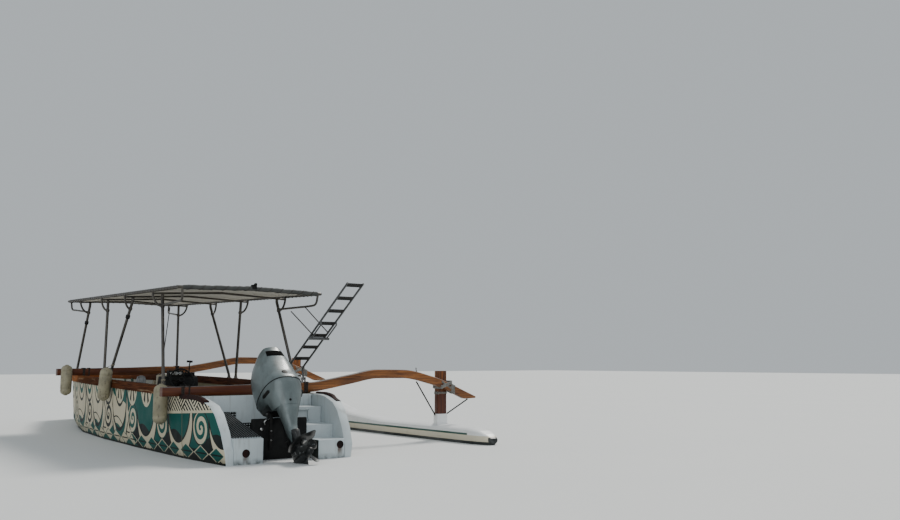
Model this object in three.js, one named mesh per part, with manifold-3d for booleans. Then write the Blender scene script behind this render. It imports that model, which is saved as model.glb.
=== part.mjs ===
// A motorised lagoon canoe with one outrigger, millimetres, +Z up.
// Origin: on the waterline and the hull's centreline, at the transom.
// +X runs to the bow, +Y to port. The float lies to starboard.

import * as THREE from 'three';
import { mergeVertices } from 'three/addons/utils/BufferGeometryUtils.js';
import Module from 'manifold-3d';

const wasm = await Module();
wasm.setup();

const GAP = 0.3;

// Hull
const FLOOR_Z = 200;
const STERN_BASE_Z = -40;
const WALL = 45;
const RAIL_HEIGHT = 130;
const RAIL_WIDTH = 76;
const WALL_AFT_X = 1215;
const RAIL_AFT_X = 1520;
const STEP = 1;
const STEM_BLOCK_X = 9300;
const DECK_AFT_X = 8200;
const DECK_THICK = 30;
const DECK_DROP = 60;

// Stern
const WELL_HALF = 400;
const WELL_FRONT_X = 350;
const STERN_TOP_Z = 829;
const WING_THICK = 130;
const BULKHEAD_X = 1212;
const BULKHEAD_THICK = 60;
const ENGINE_BOARD_THICK = 60;
const ENGINE_BOARD_TOP_Z = 545;

// Outrigger
const IAKO_WIDTH = 110;
const IAKO_AFT_X = 1400;
const IAKO_FRONT_X = 6740;
const IAKO_FRONT_Z = 1050.5;
const IAKO_AFT_Z = STERN_TOP_Z + GAP;
const AMA_Y = -3560;
const POST_SIZE = [110, 170];
const ROD_RADIUS = 12;

// Canopy
const CANOPY_AFT = { x: 1320, z: 2340, half: 1110 };
const CANOPY_FRONT = { x: 7690, z: 2490, half: 1020 };
const CANOPY_TUBE = 23;
const POLE_RADIUS = 24;

// Outboard motor, in its own frame: origin on the tilt axis, X forward, Z up
const TILT_AXIS = [400, 0, 600];
const TILT_DEGREES = 30;
const SWIVEL_X = -105;
const SWIVEL_TOP = 28;
const SWIVEL_FOOT = -430;
const PROP_AXIS_Z = -815;
const PROP_X = -550;

// Ladder
const LADDER_PIVOT = [1420, 1047];
const LADDER_RAIL_Y = [-650, -900];
const LADDER_SLOPE_DEGREES = 33.66;
const LADDER_BEND = [1405, 1251];
const LADDER_REACH = 2025;
const LADDER_TREADS = 7;
const LADDER_FIRST = 191;
const LADDER_PITCH = 299.5;
const LADDER_TUBE = 14;
const LADDER_PIN = 6;
const LADDER_TREAD = { deep: 64, thick: 16 };
// Bar folded under the rails: its places up the slope, and how far below
const STANDOFF = { bracket: 1115, bar: 773, drop: -50, wide: 40, arm: 11, tube: 20 };

const colours = {
  hull: ['#d8d8cc', 0.45, 0],
  gelcoat: ['#dfe3e4', 0.35, 0],
  wood: ['#8c4a20', 0.45, 0],
  steel: ['#8d9194', 0.3, 0.9],
  black: ['#121314', 0.5, 0],
  canvas: ['#b9b09a', 0.9, 0],
  motor: ['#bfc9cb', 0.3, 0],
  fender: ['#b8ad8c', 0.7, 0],
  cushion: ['#cfc6b2', 0.8, 0],
};

const boat = new THREE.Group();

function add(name, geometry, slot, parent = boat) {
  const [color, roughness, metalness] = colours[slot];
  const mesh = new THREE.Mesh(geometry, new THREE.MeshStandardMaterial({ color, roughness, metalness }));
  mesh.name = name;
  parent.add(mesh);
  return mesh;
}

// Closed skin through sections that all have the same number of points [x, y, z].
function loft(sections) {
  const count = sections[0].length;
  const positions = sections.flat(2);
  const faces = [];
  for (let s = 0; s < sections.length - 1; s += 1) {
    for (let i = 0; i < count; i += 1) {
      const j = (i + 1) % count;
      const a = s * count + i;
      const b = s * count + j;
      faces.push([a, b, b + count], [a, b + count, a + count]);
    }
  }
  const last = (sections.length - 1) * count;
  for (const [a, b, c] of capFaces(sections[0])) faces.push([c, b, a]);
  for (const [a, b, c] of capFaces(sections.at(-1))) faces.push([a + last, b + last, c + last]);
  return outward(positions, faces);
}

// Triangles of a flat outline, found in the plane that it lies in.
function capFaces(section) {
  const normal = newell(section);
  const axis = [0, 1, 2].sort((a, b) => Math.abs(normal[b]) - Math.abs(normal[a]))[0];
  const [u, v] = [(axis + 1) % 3, (axis + 2) % 3];
  const flat = section.map((point) => new THREE.Vector2(point[u], point[v]));
  const turned = THREE.ShapeUtils.isClockWise(flat);
  const faces = THREE.ShapeUtils.triangulateShape(turned ? flat.slice().reverse() : flat, []);
  const index = (i) => (turned ? section.length - 1 - i : i);
  const positive = normal[axis] > 0;
  return faces.map((face) => {
    const [a, b, c] = face.map(index);
    return positive ? [a, b, c] : [c, b, a];
  });
}

function newell(section) {
  const sum = [0, 0, 0];
  section.forEach((p, i) => {
    const q = section[(i + 1) % section.length];
    sum[0] += (p[1] - q[1]) * (p[2] + q[2]);
    sum[1] += (p[2] - q[2]) * (p[0] + q[0]);
    sum[2] += (p[0] - q[0]) * (p[1] + q[1]);
  });
  return sum;
}

function outward(positions, faces) {
  const point = (i) => new THREE.Vector3(...positions.slice(3 * i, 3 * i + 3));
  let volume = 0;
  for (const [a, b, c] of faces) volume += point(a).dot(point(b).cross(point(c)));
  const index = volume < 0 ? faces.map(([a, b, c]) => [c, b, a]) : faces;
  const geometry = new THREE.BufferGeometry();
  geometry.setAttribute('position', new THREE.Float32BufferAttribute(positions, 3));
  geometry.setIndex(index.flat());
  return geometry;
}

function toSolid(geometry) {
  const bare = geometry.clone();
  bare.deleteAttribute('normal');
  bare.deleteAttribute('uv');
  const merged = mergeVertices(bare, 0.001);
  return new wasm.Manifold(new wasm.Mesh({
    numProp: 3,
    vertProperties: new Float32Array(merged.attributes.position.array),
    triVerts: new Uint32Array(merged.index.array),
  }));
}

function toGeometry(solid) {
  const mesh = solid.getMesh();
  const geometry = new THREE.BufferGeometry();
  geometry.setAttribute('position', new THREE.BufferAttribute(mesh.vertProperties, 3));
  geometry.setIndex(new THREE.BufferAttribute(mesh.triVerts, 1));
  return geometry;
}

function join(...pieces) {
  return toGeometry(pieces.map(toSolid).reduce((sum, next) => sum.add(next)));
}

function cut(piece, ...tools) {
  return toGeometry(tools.map(toSolid).reduce((rest, tool) => rest.subtract(tool), toSolid(piece)));
}

function box(x0, x1, y0, y1, z0, z1) {
  const block = new THREE.BoxGeometry(x1 - x0, y1 - y0, z1 - z0);
  return block.translate((x0 + x1) / 2, (y0 + y1) / 2, (z0 + z1) / 2);
}

function rod(from, to, radius, sides = 8) {
  const a = new THREE.Vector3(...from);
  const b = new THREE.Vector3(...to);
  const run = b.clone().sub(a).normalize();
  const turn = new THREE.Quaternion().setFromUnitVectors(new THREE.Vector3(0, 1, 0), run);
  const geometry = new THREE.CylinderGeometry(radius, radius, a.distanceTo(b), sides);
  const middle = a.add(b).multiplyScalar(0.5);
  return geometry.applyQuaternion(turn).translate(middle.x, middle.y, middle.z);
}

// Tube through points, mitred at each bend, its ring carried from one run to the next.
function tube(points, radius, sides = 8) {
  const corners = points.map((point) => new THREE.Vector3(...point));
  const runs = corners.slice(1).map((corner, i) => corner.clone().sub(corners[i]).normalize());
  const side = new THREE.Vector3(0, 1, 0).cross(runs[0]);
  if (side.length() < 0.3) side.set(1, 0, 0).cross(runs[0]);
  side.normalize();
  const up = runs[0].clone().cross(side).normalize();
  const sections = corners.map((corner, i) => {
    const back = runs[Math.max(i - 1, 0)];
    const ahead = runs[Math.min(i, runs.length - 1)];
    const turn = new THREE.Quaternion().setFromUnitVectors(back, ahead);
    side.applyQuaternion(turn);
    up.applyQuaternion(turn);
    const mitre = back.clone().add(ahead).normalize();
    const ring = [];
    for (let k = 0; k < sides; k += 1) {
      const angle = (2 * Math.PI * (k + 0.5)) / sides;
      const spoke = side.clone().multiplyScalar(Math.cos(angle) * radius);
      spoke.addScaledVector(up, Math.sin(angle) * radius);
      spoke.addScaledVector(ahead, -spoke.dot(mitre) / ahead.dot(mitre));
      ring.push(spoke.add(corner).toArray());
    }
    return ring;
  });
  return loft(sections);
}

// Rows of a table: x, then values that run straight between its stations.
function along(table, x) {
  const last = table.length - 1;
  if (x <= table[0][0]) return table[0];
  if (x >= table[last][0]) return table[last];
  const i = table.findIndex((row) => row[0] > x);
  const [a, b] = [table[i - 1], table[i]];
  const part = (x - a[0]) / (b[0] - a[0]);
  return a.map((value, k) => value + (b[k] - value) * part);
}

// Hull lines. Columns: x, half-beam at the gunwale, top of the gunwale rail,
// half-beam at the floor, half-beam at the chine, chine z, keel z
const hullLines = [
  [0, 955, 960, 935, 900, -60, -130],
  [1215, 1060, 945, 1035, 985, -70, -200],
  [3000, 1090, 985, 1065, 1000, -90, -270],
  [5000, 1080, 1020, 1050, 970, -90, -300],
  [6740, 1000, 1050, 960, 860, -60, -310],
  [8000, 810, 1055, 750, 640, -20, -300],
  [9300, 480, 1070, 410, 310, 40, -260],
  [10250, 200, 1090, 130, 70, 100, -150],
  [10850, 14, 1110, 8, 4, 190, 60],
];

function lines(x) {
  const [, gunwale, top, floorHalf, chineHalf, chineZ, keelZ] = along(hullLines, x);
  return { gunwale, top, floorHalf, chineHalf, chineZ, keelZ };
}

function stations(from, to) {
  return [from, ...hullLines.map((row) => row[0]).filter((x) => x > from + 1 && x < to - 1), to];
}

// Half-beam outside: straight from the gunwale to the floor, and from there to the chine
function outsideAt(x, z) {
  const { gunwale, top, floorHalf, chineHalf, chineZ } = lines(x);
  if (z < FLOOR_Z) return chineHalf + ((floorHalf - chineHalf) * (z - chineZ)) / (FLOOR_Z - chineZ);
  return floorHalf + ((gunwale - floorHalf) * (z - FLOOR_Z)) / (top - FLOOR_Z);
}

function bottomSection(x, topZ) {
  const { floorHalf, chineHalf, chineZ, keelZ } = lines(x);
  const flare = Math.max(0, (topZ - chineZ) / (FLOOR_Z - chineZ));
  const half = [
    [chineHalf + (floorHalf - chineHalf) * flare, topZ],
    [chineHalf, Math.min(chineZ, topZ - 4)],
    [chineHalf * 0.7, chineZ + (keelZ - chineZ) * 0.6],
    [chineHalf * 0.12 + 3, keelZ],
  ];
  const port = half.map(([y, z]) => [x, y, z]);
  return [...port, ...port.map(([, y, z]) => [x, -y, z]).reverse()];
}

function makeHullBottom() {
  const main = loft(stations(WALL_AFT_X, STEM_BLOCK_X - GAP).map((x) => bottomSection(x, FLOOR_Z)));
  const aft = loft([0, WALL_AFT_X + STEP].map((x) => bottomSection(x, STERN_BASE_Z)));
  const notch = box(-10, WELL_FRONT_X, -WELL_HALF, WELL_HALF, -600, 100);
  add('hull_bottom', cut(join(main, aft), notch), 'hull');
}

function makeHullSide(side, name) {
  const forward = stations(RAIL_AFT_X + STEP, STEM_BLOCK_X - GAP);
  const sections = [WALL_AFT_X + GAP, RAIL_AFT_X, ...forward].map((x) => {
    const { top } = lines(x);
    const wallTop = x <= RAIL_AFT_X ? STERN_TOP_Z : top - RAIL_HEIGHT - GAP;
    const bottom = FLOOR_Z + GAP;
    return [
      [x, side * outsideAt(x, bottom), bottom],
      [x, side * outsideAt(x, wallTop), wallTop],
      [x, side * (outsideAt(x, wallTop) - WALL), wallTop],
      [x, side * (outsideAt(x, bottom) - WALL), bottom],
    ];
  });
  add(name, loft(sections), 'hull');
}

function makeStemBlock() {
  const sections = stations(STEM_BLOCK_X, hullLines.at(-1)[0]).map((x) => {
    const { top, keelZ, chineHalf, chineZ, floorHalf } = lines(x);
    const deck = top - RAIL_HEIGHT - GAP;
    const port = [
      [x, outsideAt(x, deck), deck],
      [x, floorHalf, FLOOR_Z + 40],
      [x, chineHalf, chineZ],
      [x, chineHalf * 0.7, chineZ + (keelZ - chineZ) * 0.6],
      [x, chineHalf * 0.12 + 3, keelZ],
    ];
    return [...port, ...port.map(([, y, z]) => [x, -y, z]).reverse()];
  });
  add('bow', loft(sections), 'hull');
}

function makeForedeck() {
  const sections = stations(DECK_AFT_X, STEM_BLOCK_X - GAP).map((x) => {
    const top = lines(x).top - RAIL_HEIGHT - DECK_DROP;
    const half = outsideAt(x, top) - WALL - 6;
    return [[x, half, top], [x, -half, top], [x, -half, top - DECK_THICK], [x, half, top - DECK_THICK]];
  });
  add('foredeck', loft(sections), 'gelcoat');
}

function makeRail(side, name) {
  const sections = stations(RAIL_AFT_X + 2 * STEP, hullLines.at(-1)[0] - 60).map((x) => {
    const { gunwale, top } = lines(x);
    const outer = gunwale + 12;
    const inner = Math.max(outer - RAIL_WIDTH, 2);
    return [
      [x, side * outer, top - RAIL_HEIGHT],
      [x, side * outer, top],
      [x, side * inner, top],
      [x, side * inner, top - RAIL_HEIGHT],
    ];
  });
  add(name, loft(sections), 'wood');
}

// Aft edge of the stern wings, x and z, from the foot up to the level top
const wingProfile = [
  [0, STERN_BASE_Z + GAP], [0, 170], [14, FLOOR_Z], [109, 409], [275, 631],
  [420, 734], [560, 772], [700, 808], [900, STERN_TOP_Z],
];

const wingInside = (x) => outsideAt(x, FLOOR_Z) - WING_THICK;

function makeWing(side, name) {
  const sections = wingProfile.map(([x, z]) => [
    [x, side * outsideAt(x, z), z],
    [BULKHEAD_X, side * outsideAt(BULKHEAD_X, z), z],
    [BULKHEAD_X, side * wingInside(BULKHEAD_X), z],
    [x, side * wingInside(x), z],
  ]);
  add(name, loft(sections), 'hull');
}

// Walks of the stern: outline in x and z, from the well to the wing
function makeSternBlock(side, name, outline) {
  const base = STERN_BASE_Z + GAP;
  const closed = [[0, base], ...outline, [BULKHEAD_X - BULKHEAD_THICK - GAP, base]];
  const inner = closed.map(([x, z]) => [x, side * WELL_HALF, z]);
  const outer = closed.map(([x, z]) => [x, side * (wingInside(x) - GAP), z]);
  add(name, loft([inner, outer]), 'gelcoat');
}

function makeBulkhead() {
  const front = BULKHEAD_X;
  const back = BULKHEAD_X - BULKHEAD_THICK;
  const half = wingInside(back) - 2 * GAP;
  add('aft_bulkhead', box(back, front, -half, half, STERN_BASE_Z + GAP, STERN_TOP_Z), 'gelcoat');
}

function makeEngineBoard() {
  const half = WELL_HALF - GAP;
  const [aft, front] = [WELL_FRONT_X + GAP, WELL_FRONT_X + ENGINE_BOARD_THICK];
  add('engine_board', box(aft, front, -half, half, STERN_BASE_Z + GAP, ENGINE_BOARD_TOP_Z), 'gelcoat');
}

makeHullBottom();
makeHullSide(1, 'hull_side_port');
makeHullSide(-1, 'hull_side_starboard');
makeStemBlock();
makeForedeck();
makeRail(1, 'rail_port');
makeRail(-1, 'rail_starboard');
makeWing(1, 'stern_wing_port');
makeWing(-1, 'stern_wing_starboard');
const backX = BULKHEAD_X - BULKHEAD_THICK - GAP;
makeSternBlock(1, 'stern_deck_port', [[0, 320], [150, 338], [backX, 600]]);
const steps = [[0, 255], [380, 255], [380, 435], [800, 435], [800, 660], [backX, 660]];
makeSternBlock(-1, 'stern_steps_starboard', steps);
makeBulkhead();
makeEngineBoard();

// Cross beams, from the port tip. Columns: y, underside above the gunwale seat, depth
const iakoLines = [
  [1400, 0, 125],
  [0, 0, 145],
  [-550, 20, 145],
  [-1000, 20, 145],
  [-1300, 60, 145],
  [-1700, 132, 142],
  [-2200, 210, 142],
  [-2700, 207, 138],
  [-3300, 95, 130],
  [-3620, -10, 130],
  [-3970, -160, 134],
  [-4200, -150, 30],
];

function iakoUnder(y) {
  const [, under, depth] = along(iakoLines.map(([a, ...rest]) => [-a, ...rest]), -y);
  return { under, depth };
}

function makeIako({ x, seatZ, tip, end }) {
  const sections = iakoLines.map(([station, under, depth]) => {
    const y = Math.min(station, tip);
    return [
      [x - IAKO_WIDTH / 2, y, seatZ + under],
      [x - IAKO_WIDTH / 2, y, seatZ + under + depth],
      [x + IAKO_WIDTH / 2, y, seatZ + under + depth],
      [x + IAKO_WIDTH / 2, y, seatZ + under],
    ];
  });
  add(`iako_${end}`, loft(sections), 'wood');
}

// Outrigger float. Columns: x, half-width, top z, bottom z
const amaLines = [
  [90, 72, 100, 20],
  [190, 122, 160, -50],
  [330, 158, 212, -110],
  [600, 186, 243, -150],
  [1400, 205, 250, -190],
  [3100, 215, 243, -200],
  [4300, 212, 325, -165],
  [5300, 200, 545, 20],
  [6000, 185, 755, 270],
  [6740, 150, 930, 540],
  [7300, 80, 1080, 810],
  [7650, 20, 1190, 1040],
];

const amaTop = (x) => along(amaLines, x)[2];
const SOCKET = { half: [54, 105] };

function makeAma() {
  const sections = amaLines.map(([x, half, top, bottom]) => {
    const tall = top - bottom;
    const port = [
      [x, half * 0.72, top],
      [x, half, top - tall * 0.16],
      [x, half * 0.96, top - tall * 0.5],
      [x, half * 0.66, top - tall * 0.83],
      [x, half * 0.16, bottom],
    ];
    return [...port, ...port.map(([, y, z]) => [x, -y, z]).reverse()].map(([a, y, z]) => [a, y + AMA_Y, z]);
  });
  const sockets = outriggerFrames.map(({ postX, socketTop }) => {
    const [hx, hy] = SOCKET.half;
    return box(postX - hx, postX + hx, AMA_Y - hy, AMA_Y + hy, amaTop(postX) - 120, socketTop);
  });
  add('ama', join(loft(sections), ...sockets), 'hull');
}

const postOffset = IAKO_WIDTH / 2 + POST_SIZE[0] / 2 + GAP;
const outriggerFrames = [
  {
    end: 'aft', x: IAKO_AFT_X, seatZ: IAKO_AFT_Z, tip: 1280,
    socketTop: 425, postTop: 1150, braces: ['inboard', 'outboard'],
  },
  {
    end: 'front', x: IAKO_FRONT_X, seatZ: IAKO_FRONT_Z, tip: 1400,
    socketTop: 1060, postTop: 1390, braces: ['inboard'],
  },
];
for (const frame of outriggerFrames) frame.postX = frame.x + postOffset;

function makeAmaPost({ end, postX, socketTop, postTop }) {
  const [hx, hy] = POST_SIZE.map((size) => size / 2);
  const post = box(postX - hx, postX + hx, AMA_Y - hy, AMA_Y + hy, socketTop + GAP, postTop);
  add(`ama_post_${end}`, post, 'wood');
}

const braceEnds = { inboard: [-2980, 1], outboard: [-4060, -1] };
const BRACE_BELOW_SOCKET_TOP = 16;

// Steel braces from the beam down to the post's socket
function makeBraces({ end, x, postX, seatZ, socketTop, braces }) {
  for (const where of braces) {
    const [y, side] = braceEnds[where];
    const slope = (iakoUnder(y + 1).under - iakoUnder(y - 1).under) / 2;
    const beamNormal = new THREE.Vector3(0, -slope, 1).normalize();
    const socketNormal = new THREE.Vector3(0, side, 0);
    const high = new THREE.Vector3(x, y, seatZ + iakoUnder(y).under);
    const low = new THREE.Vector3(postX, AMA_Y + side * SOCKET.half[1], socketTop - BRACE_BELOW_SOCKET_TOP);
    const run = high.clone().sub(low).normalize();
    const seat = (normal) => GAP + ROD_RADIUS * Math.sqrt(1 - run.dot(normal) ** 2);
    high.addScaledVector(beamNormal, -seat(beamNormal));
    low.addScaledVector(socketNormal, seat(socketNormal));
    add(`ama_brace_${end}_${where}`, rod(high.toArray(), low.toArray(), ROD_RADIUS, 8), 'steel');
  }
}

makeAma();
for (const frame of outriggerFrames) {
  makeIako(frame);
  makeAmaPost(frame);
  makeBraces(frame);
}

// Canopy
const canopyPart = (x) => (x - CANOPY_AFT.x) / (CANOPY_FRONT.x - CANOPY_AFT.x);
const canopyZ = (x) => CANOPY_AFT.z + (CANOPY_FRONT.z - CANOPY_AFT.z) * canopyPart(x);
const canopyHalf = (x) => CANOPY_AFT.half + (CANOPY_FRONT.half - CANOPY_AFT.half) * canopyPart(x);

// Poles. Columns: top x, top |y|, port foot x, starboard foot x
const poleLines = [
  [2483, 940, 2000, 1995],
  [3907, 938, 4614, 4314],
  [5304, 939, 4940, 4613],
  [6773, 856, 7500, 6981],
];
const END_CAMBER = 30;
const BOW_DROP = 45;
const BOW_RISE = 8;
const BOW_INSET = 15;
const BOW_RADIUS = 16;
const BRACE_RADIUS = 15;
const POLE_SEAT = 3 * GAP;
const POLE_HEAD = 40;
const POLE_FOOT = 50;
const HOOK_DROP = 235;
const HOOK_REACH = 45;
const CORNER_DROP = 215;
const FLAT = Math.cos(Math.PI / 8);
const CLOTH = { thick: 8, edge: 2, crown: 23.6, inset: 45 };

// Bends of one pole, and the way out of its side at a height below the canopy
function poleOf([topX, topY, portFoot, starboardFoot], side) {
  const footX = side > 0 ? portFoot : starboardFoot;
  const foot = lines(footX);
  const footY = side * (foot.gunwale - 26);
  const bowHalf = canopyHalf(topX) - BOW_INSET;
  const bowZ = canopyZ(topX) - BOW_DROP + (BOW_DROP + BOW_RISE) * (1 - topY / bowHalf);
  const top = bowZ - BOW_RADIUS * FLAT - 5 * GAP;
  const points = [
    [footX, footY, foot.top + POLE_SEAT],
    [footX, footY, foot.top + POLE_FOOT],
    [topX, side * topY, top - POLE_HEAD],
    [topX, side * topY, top],
  ];
  const low = new THREE.Vector3(...points[1]);
  const run = new THREE.Vector3(...points[2]).sub(low).normalize();
  const turn = new THREE.Quaternion().setFromUnitVectors(new THREE.Vector3(0, 0, 1), run);
  const at = (drop, outward, distance) => {
    const centre = low.clone().addScaledVector(run, (canopyZ(topX) - drop - low.z) / run.z);
    return centre.addScaledVector(new THREE.Vector3(...outward).applyQuaternion(turn), distance).toArray();
  };
  return { points, at };
}

const POLE_FACE = POLE_RADIUS * FLAT + GAP;

// Hooked brace from the end of a bow round to the pole below it
function hookedBrace(row, side) {
  const [x] = row;
  const [half, z] = [canopyHalf(x), canopyZ(x)];
  const { at } = poleOf(row, side);
  const near = at(HOOK_DROP, [0, side, 0], POLE_FACE + HOOK_REACH);
  return tube([
    [x, side * half, z],
    [x, side * (half - 3), z - 85],
    [(x * 2 + near[0]) / 3, side * (half - 15), z - 155],
    [(x + near[0] * 2) / 3, side * (half - 50), z - 210],
    near,
    at(HOOK_DROP, [0, side, 0], POLE_FACE),
  ], BRACE_RADIUS);
}

// Long brace from an end pole to the corner of the canopy beyond it
function cornerBrace(row, side, corner) {
  const way = Math.sign(corner.x - row[0]);
  const { at } = poleOf(row, side);
  const y = (inset) => side * (corner.half - inset);
  return tube([
    at(CORNER_DROP, [way, 0, 0], POLE_FACE),
    at(CORNER_DROP, [way, 0, 0], POLE_FACE + 60),
    [corner.x - way * 190, y(85), corner.z - 180],
    [corner.x - way * 100, y(70), corner.z - 150],
    [corner.x - way * 35, y(55), corner.z - 70],
    [corner.x, y(45), corner.z],
  ], BRACE_RADIUS);
}

function makeCanopyFrame() {
  const corners = [CANOPY_AFT, CANOPY_FRONT];
  const rim = [1, -1].map((side) => {
    const run = corners.map(({ x, z, half }) => [x, side * half, z]);
    return tube(run, CANOPY_TUBE);
  });
  const ends = corners.map(({ x, z, half }) => {
    const run = [[x, half, z], [x, 0, z + END_CAMBER], [x, -half, z]];
    return tube(run, CANOPY_TUBE);
  });
  const bows = poleLines.map(([x]) => {
    const half = canopyHalf(x) - BOW_INSET;
    const z = canopyZ(x);
    return tube([[x, half, z - BOW_DROP], [x, 0, z + BOW_RISE], [x, -half, z - BOW_DROP]], BOW_RADIUS);
  });
  const hooks = [1, -1].flatMap((side) => poleLines.map((row) => hookedBrace(row, side)));
  const long = [1, -1].flatMap((side) => [
    cornerBrace(poleLines[0], side, CANOPY_AFT),
    cornerBrace(poleLines.at(-1), side, CANOPY_FRONT),
  ]);
  add('canopy_frame', join(...rim, ...ends, ...bows, ...hooks, ...long), 'steel');
}

function makePoles() {
  poleLines.forEach((row, i) => {
    for (const [side, word] of [[1, 'port'], [-1, 'starboard']]) {
      add(`canopy_pole_${word}_${i + 1}`, tube(poleOf(row, side).points, POLE_RADIUS), 'steel');
    }
  });
}

function makeCanopyCloth() {
  const inset = CANOPY_TUBE + CLOTH.inset;
  const cloth = [CANOPY_AFT.x + inset, CANOPY_FRONT.x - inset].map((x) => {
    const half = canopyHalf(x) - inset;
    const base = canopyZ(x) + CLOTH.edge;
    const crown = canopyZ(x) + CLOTH.crown;
    return [
      [x, half, base], [x, half, base + CLOTH.thick], [x, 0, crown + CLOTH.thick],
      [x, -half, base + CLOTH.thick], [x, -half, base], [x, 0, crown],
    ];
  });
  add('canopy_cloth', loft(cloth), 'canvas');
}

makeCanopyFrame();
makePoles();
makeCanopyCloth();

// Console, seats and fenders
const CONSOLE = { x: [3720, 4180], y: [-150, 400], top: 1020 };
const WHEEL = { centre: [3560, 200, 1010], radius: 190, rim: 14, lean: 25, hubBack: 43 };

function makeConsole() {
  const [x0, x1] = CONSOLE.x;
  const [y0, y1] = CONSOLE.y;
  const side = (y) => [
    [x0 + 60, y, FLOOR_Z + GAP], [x0, y, 860], [x0 + 70, y, CONSOLE.top + 40],
    [x1 - 60, y, CONSOLE.top + 40], [x1, y, 900], [x1, y, FLOOR_Z + GAP],
  ];
  const lean = THREE.MathUtils.degToRad(WHEEL.lean);
  const [cx, cy, cz] = WHEEL.centre;
  const behind = (run) => [cx + Math.cos(lean) * run, cy, cz - Math.sin(lean) * run];
  const column = rod(behind(WHEEL.hubBack + GAP), behind(260), 24, 12);
  add('console', join(loft([side(y0), side(y1)]), column), 'black');
}

function makeWheel() {
  const group = new THREE.Group();
  group.position.set(...WHEEL.centre);
  group.rotation.y = THREE.MathUtils.degToRad(-90 + WHEEL.lean);
  const rim = new THREE.TorusGeometry(WHEEL.radius, WHEEL.rim, 8, 24);
  const spokes = [90, 210, 330].map((degrees) => {
    const turn = THREE.MathUtils.degToRad(degrees);
    return rod([0, 0, -18], [Math.cos(turn) * WHEEL.radius, Math.sin(turn) * WHEEL.radius, 0], 9, 6);
  });
  const hub = new THREE.CylinderGeometry(38, 45, 50, 12)
    .rotateX(Math.PI / 2).translate(0, 0, 25 - WHEEL.hubBack);
  add('steering_wheel', join(rim, ...spokes, hub), 'black', group);
  boat.add(group);
  return group;
}

function makeSeats() {
  add('console_seat', join(
    box(4200, 4700, ...CONSOLE.y, FLOOR_Z + GAP, 620),
    box(4200, 4290, ...CONSOLE.y, 600, 1100),
  ), 'cushion');
  for (const [side, word] of [[1, 'port'], [-1, 'starboard']]) {
    const sections = [1900, 3000, 5000, 6500].map((x) => {
      const outer = outsideAt(x, FLOOR_Z) - WALL - 4;
      const inner = outer - 400;
      return [
        [x, side * inner, FLOOR_Z + GAP], [x, side * outer, FLOOR_Z + GAP],
        [x, side * outer, 600], [x, side * inner, 600],
      ];
    });
    add(`bench_${word}`, loft(sections), 'cushion');
  }
}

// Fenders. Columns: x and height of the middle, lean in degrees.
// The last one hangs on the front beam's tip.
const FENDER = { radius: 98, length: 560, end: 60, shoulder: 80 };
const fenderLines = [
  [1700, 715, 0],
  [4370, 940, 16],
  [IAKO_FRONT_X - IAKO_WIDTH / 2 - FENDER.radius - GAP, 969, 0],
];
const FENDER_TIP_Y = 1262;

function makeFenders() {
  const tip = FENDER.length / 2;
  const half = [[0, tip], [FENDER.end, tip - 12], [FENDER.radius, tip - FENDER.shoulder]];
  const outline = [...half.map(([r, h]) => [r, -h]), ...half.slice().reverse()];
  fenderLines.forEach(([x, z, lean], i) => {
    const body = new THREE.LatheGeometry(outline.map(([r, h]) => new THREE.Vector2(r, h)), 12);
    const onBeam = i === fenderLines.length - 1;
    const turn = onBeam ? 0 : Math.atan2(lines(x + 50).gunwale - lines(x - 50).gunwale, 100);
    const atRail = lines(x).gunwale + 12 + (FENDER.radius + GAP) / Math.cos(turn);
    const y = onBeam ? FENDER_TIP_Y : atRail;
    body.rotateX(Math.PI / 2).rotateY(THREE.MathUtils.degToRad(-lean)).rotateZ(turn).translate(x, y, z);
    add(`fender_${i + 1}`, body, 'fender');
  });
}

makeConsole();
const wheelGroup = makeWheel();
makeSeats();
makeFenders();

// Boarding ladder, raised, hinged on the aft beam
function makeLadder() {
  const slope = THREE.MathUtils.degToRad(LADDER_SLOPE_DEGREES);
  const [px, pz] = LADDER_PIVOT;
  const [bx, bz] = LADDER_BEND;
  // A point so far up the slope, and so far above the rails' plane
  const at = (run, y, above = 0) => [
    bx - Math.cos(slope) * run + Math.sin(slope) * above,
    y,
    bz + Math.sin(slope) * run + Math.cos(slope) * above,
  ];
  const [portY, starboardY] = LADDER_RAIL_Y;
  const middle = (portY + starboardY) / 2;
  const pieces = LADDER_RAIL_Y.map((y) => tube([
    [px, y, pz - 12], [px + 36, y, pz + 73], [px + 40, y, pz + 135], [px + 12, y, pz + 186],
    at(60, y), at(LADDER_REACH, y),
  ], LADDER_TUBE));
  for (let i = 0; i < LADDER_TREADS; i += 1) {
    const { deep, thick } = LADDER_TREAD;
    const tread = new THREE.BoxGeometry(deep, portY - starboardY, thick).rotateY(slope * 0.9);
    pieces.push(tread.translate(...at(LADDER_FIRST + i * LADDER_PITCH, middle)));
  }
  for (const y of LADDER_RAIL_Y) pieces.push(rod([px, y - 26, pz], [px, y + 26, pz], LADDER_PIN));
  const { bracket, bar, drop, wide } = STANDOFF;
  for (const y of LADDER_RAIL_Y) {
    pieces.push(tube([at(bracket + 20, y), at(bracket + 8, y, drop), at(bar, y, drop)], STANDOFF.arm));
  }
  const [low, high] = [starboardY - wide, portY + wide];
  pieces.push(rod(at(bar, low, drop), at(bar, high, drop), STANDOFF.tube));
  add('ladder', join(...pieces), 'black');
}

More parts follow.
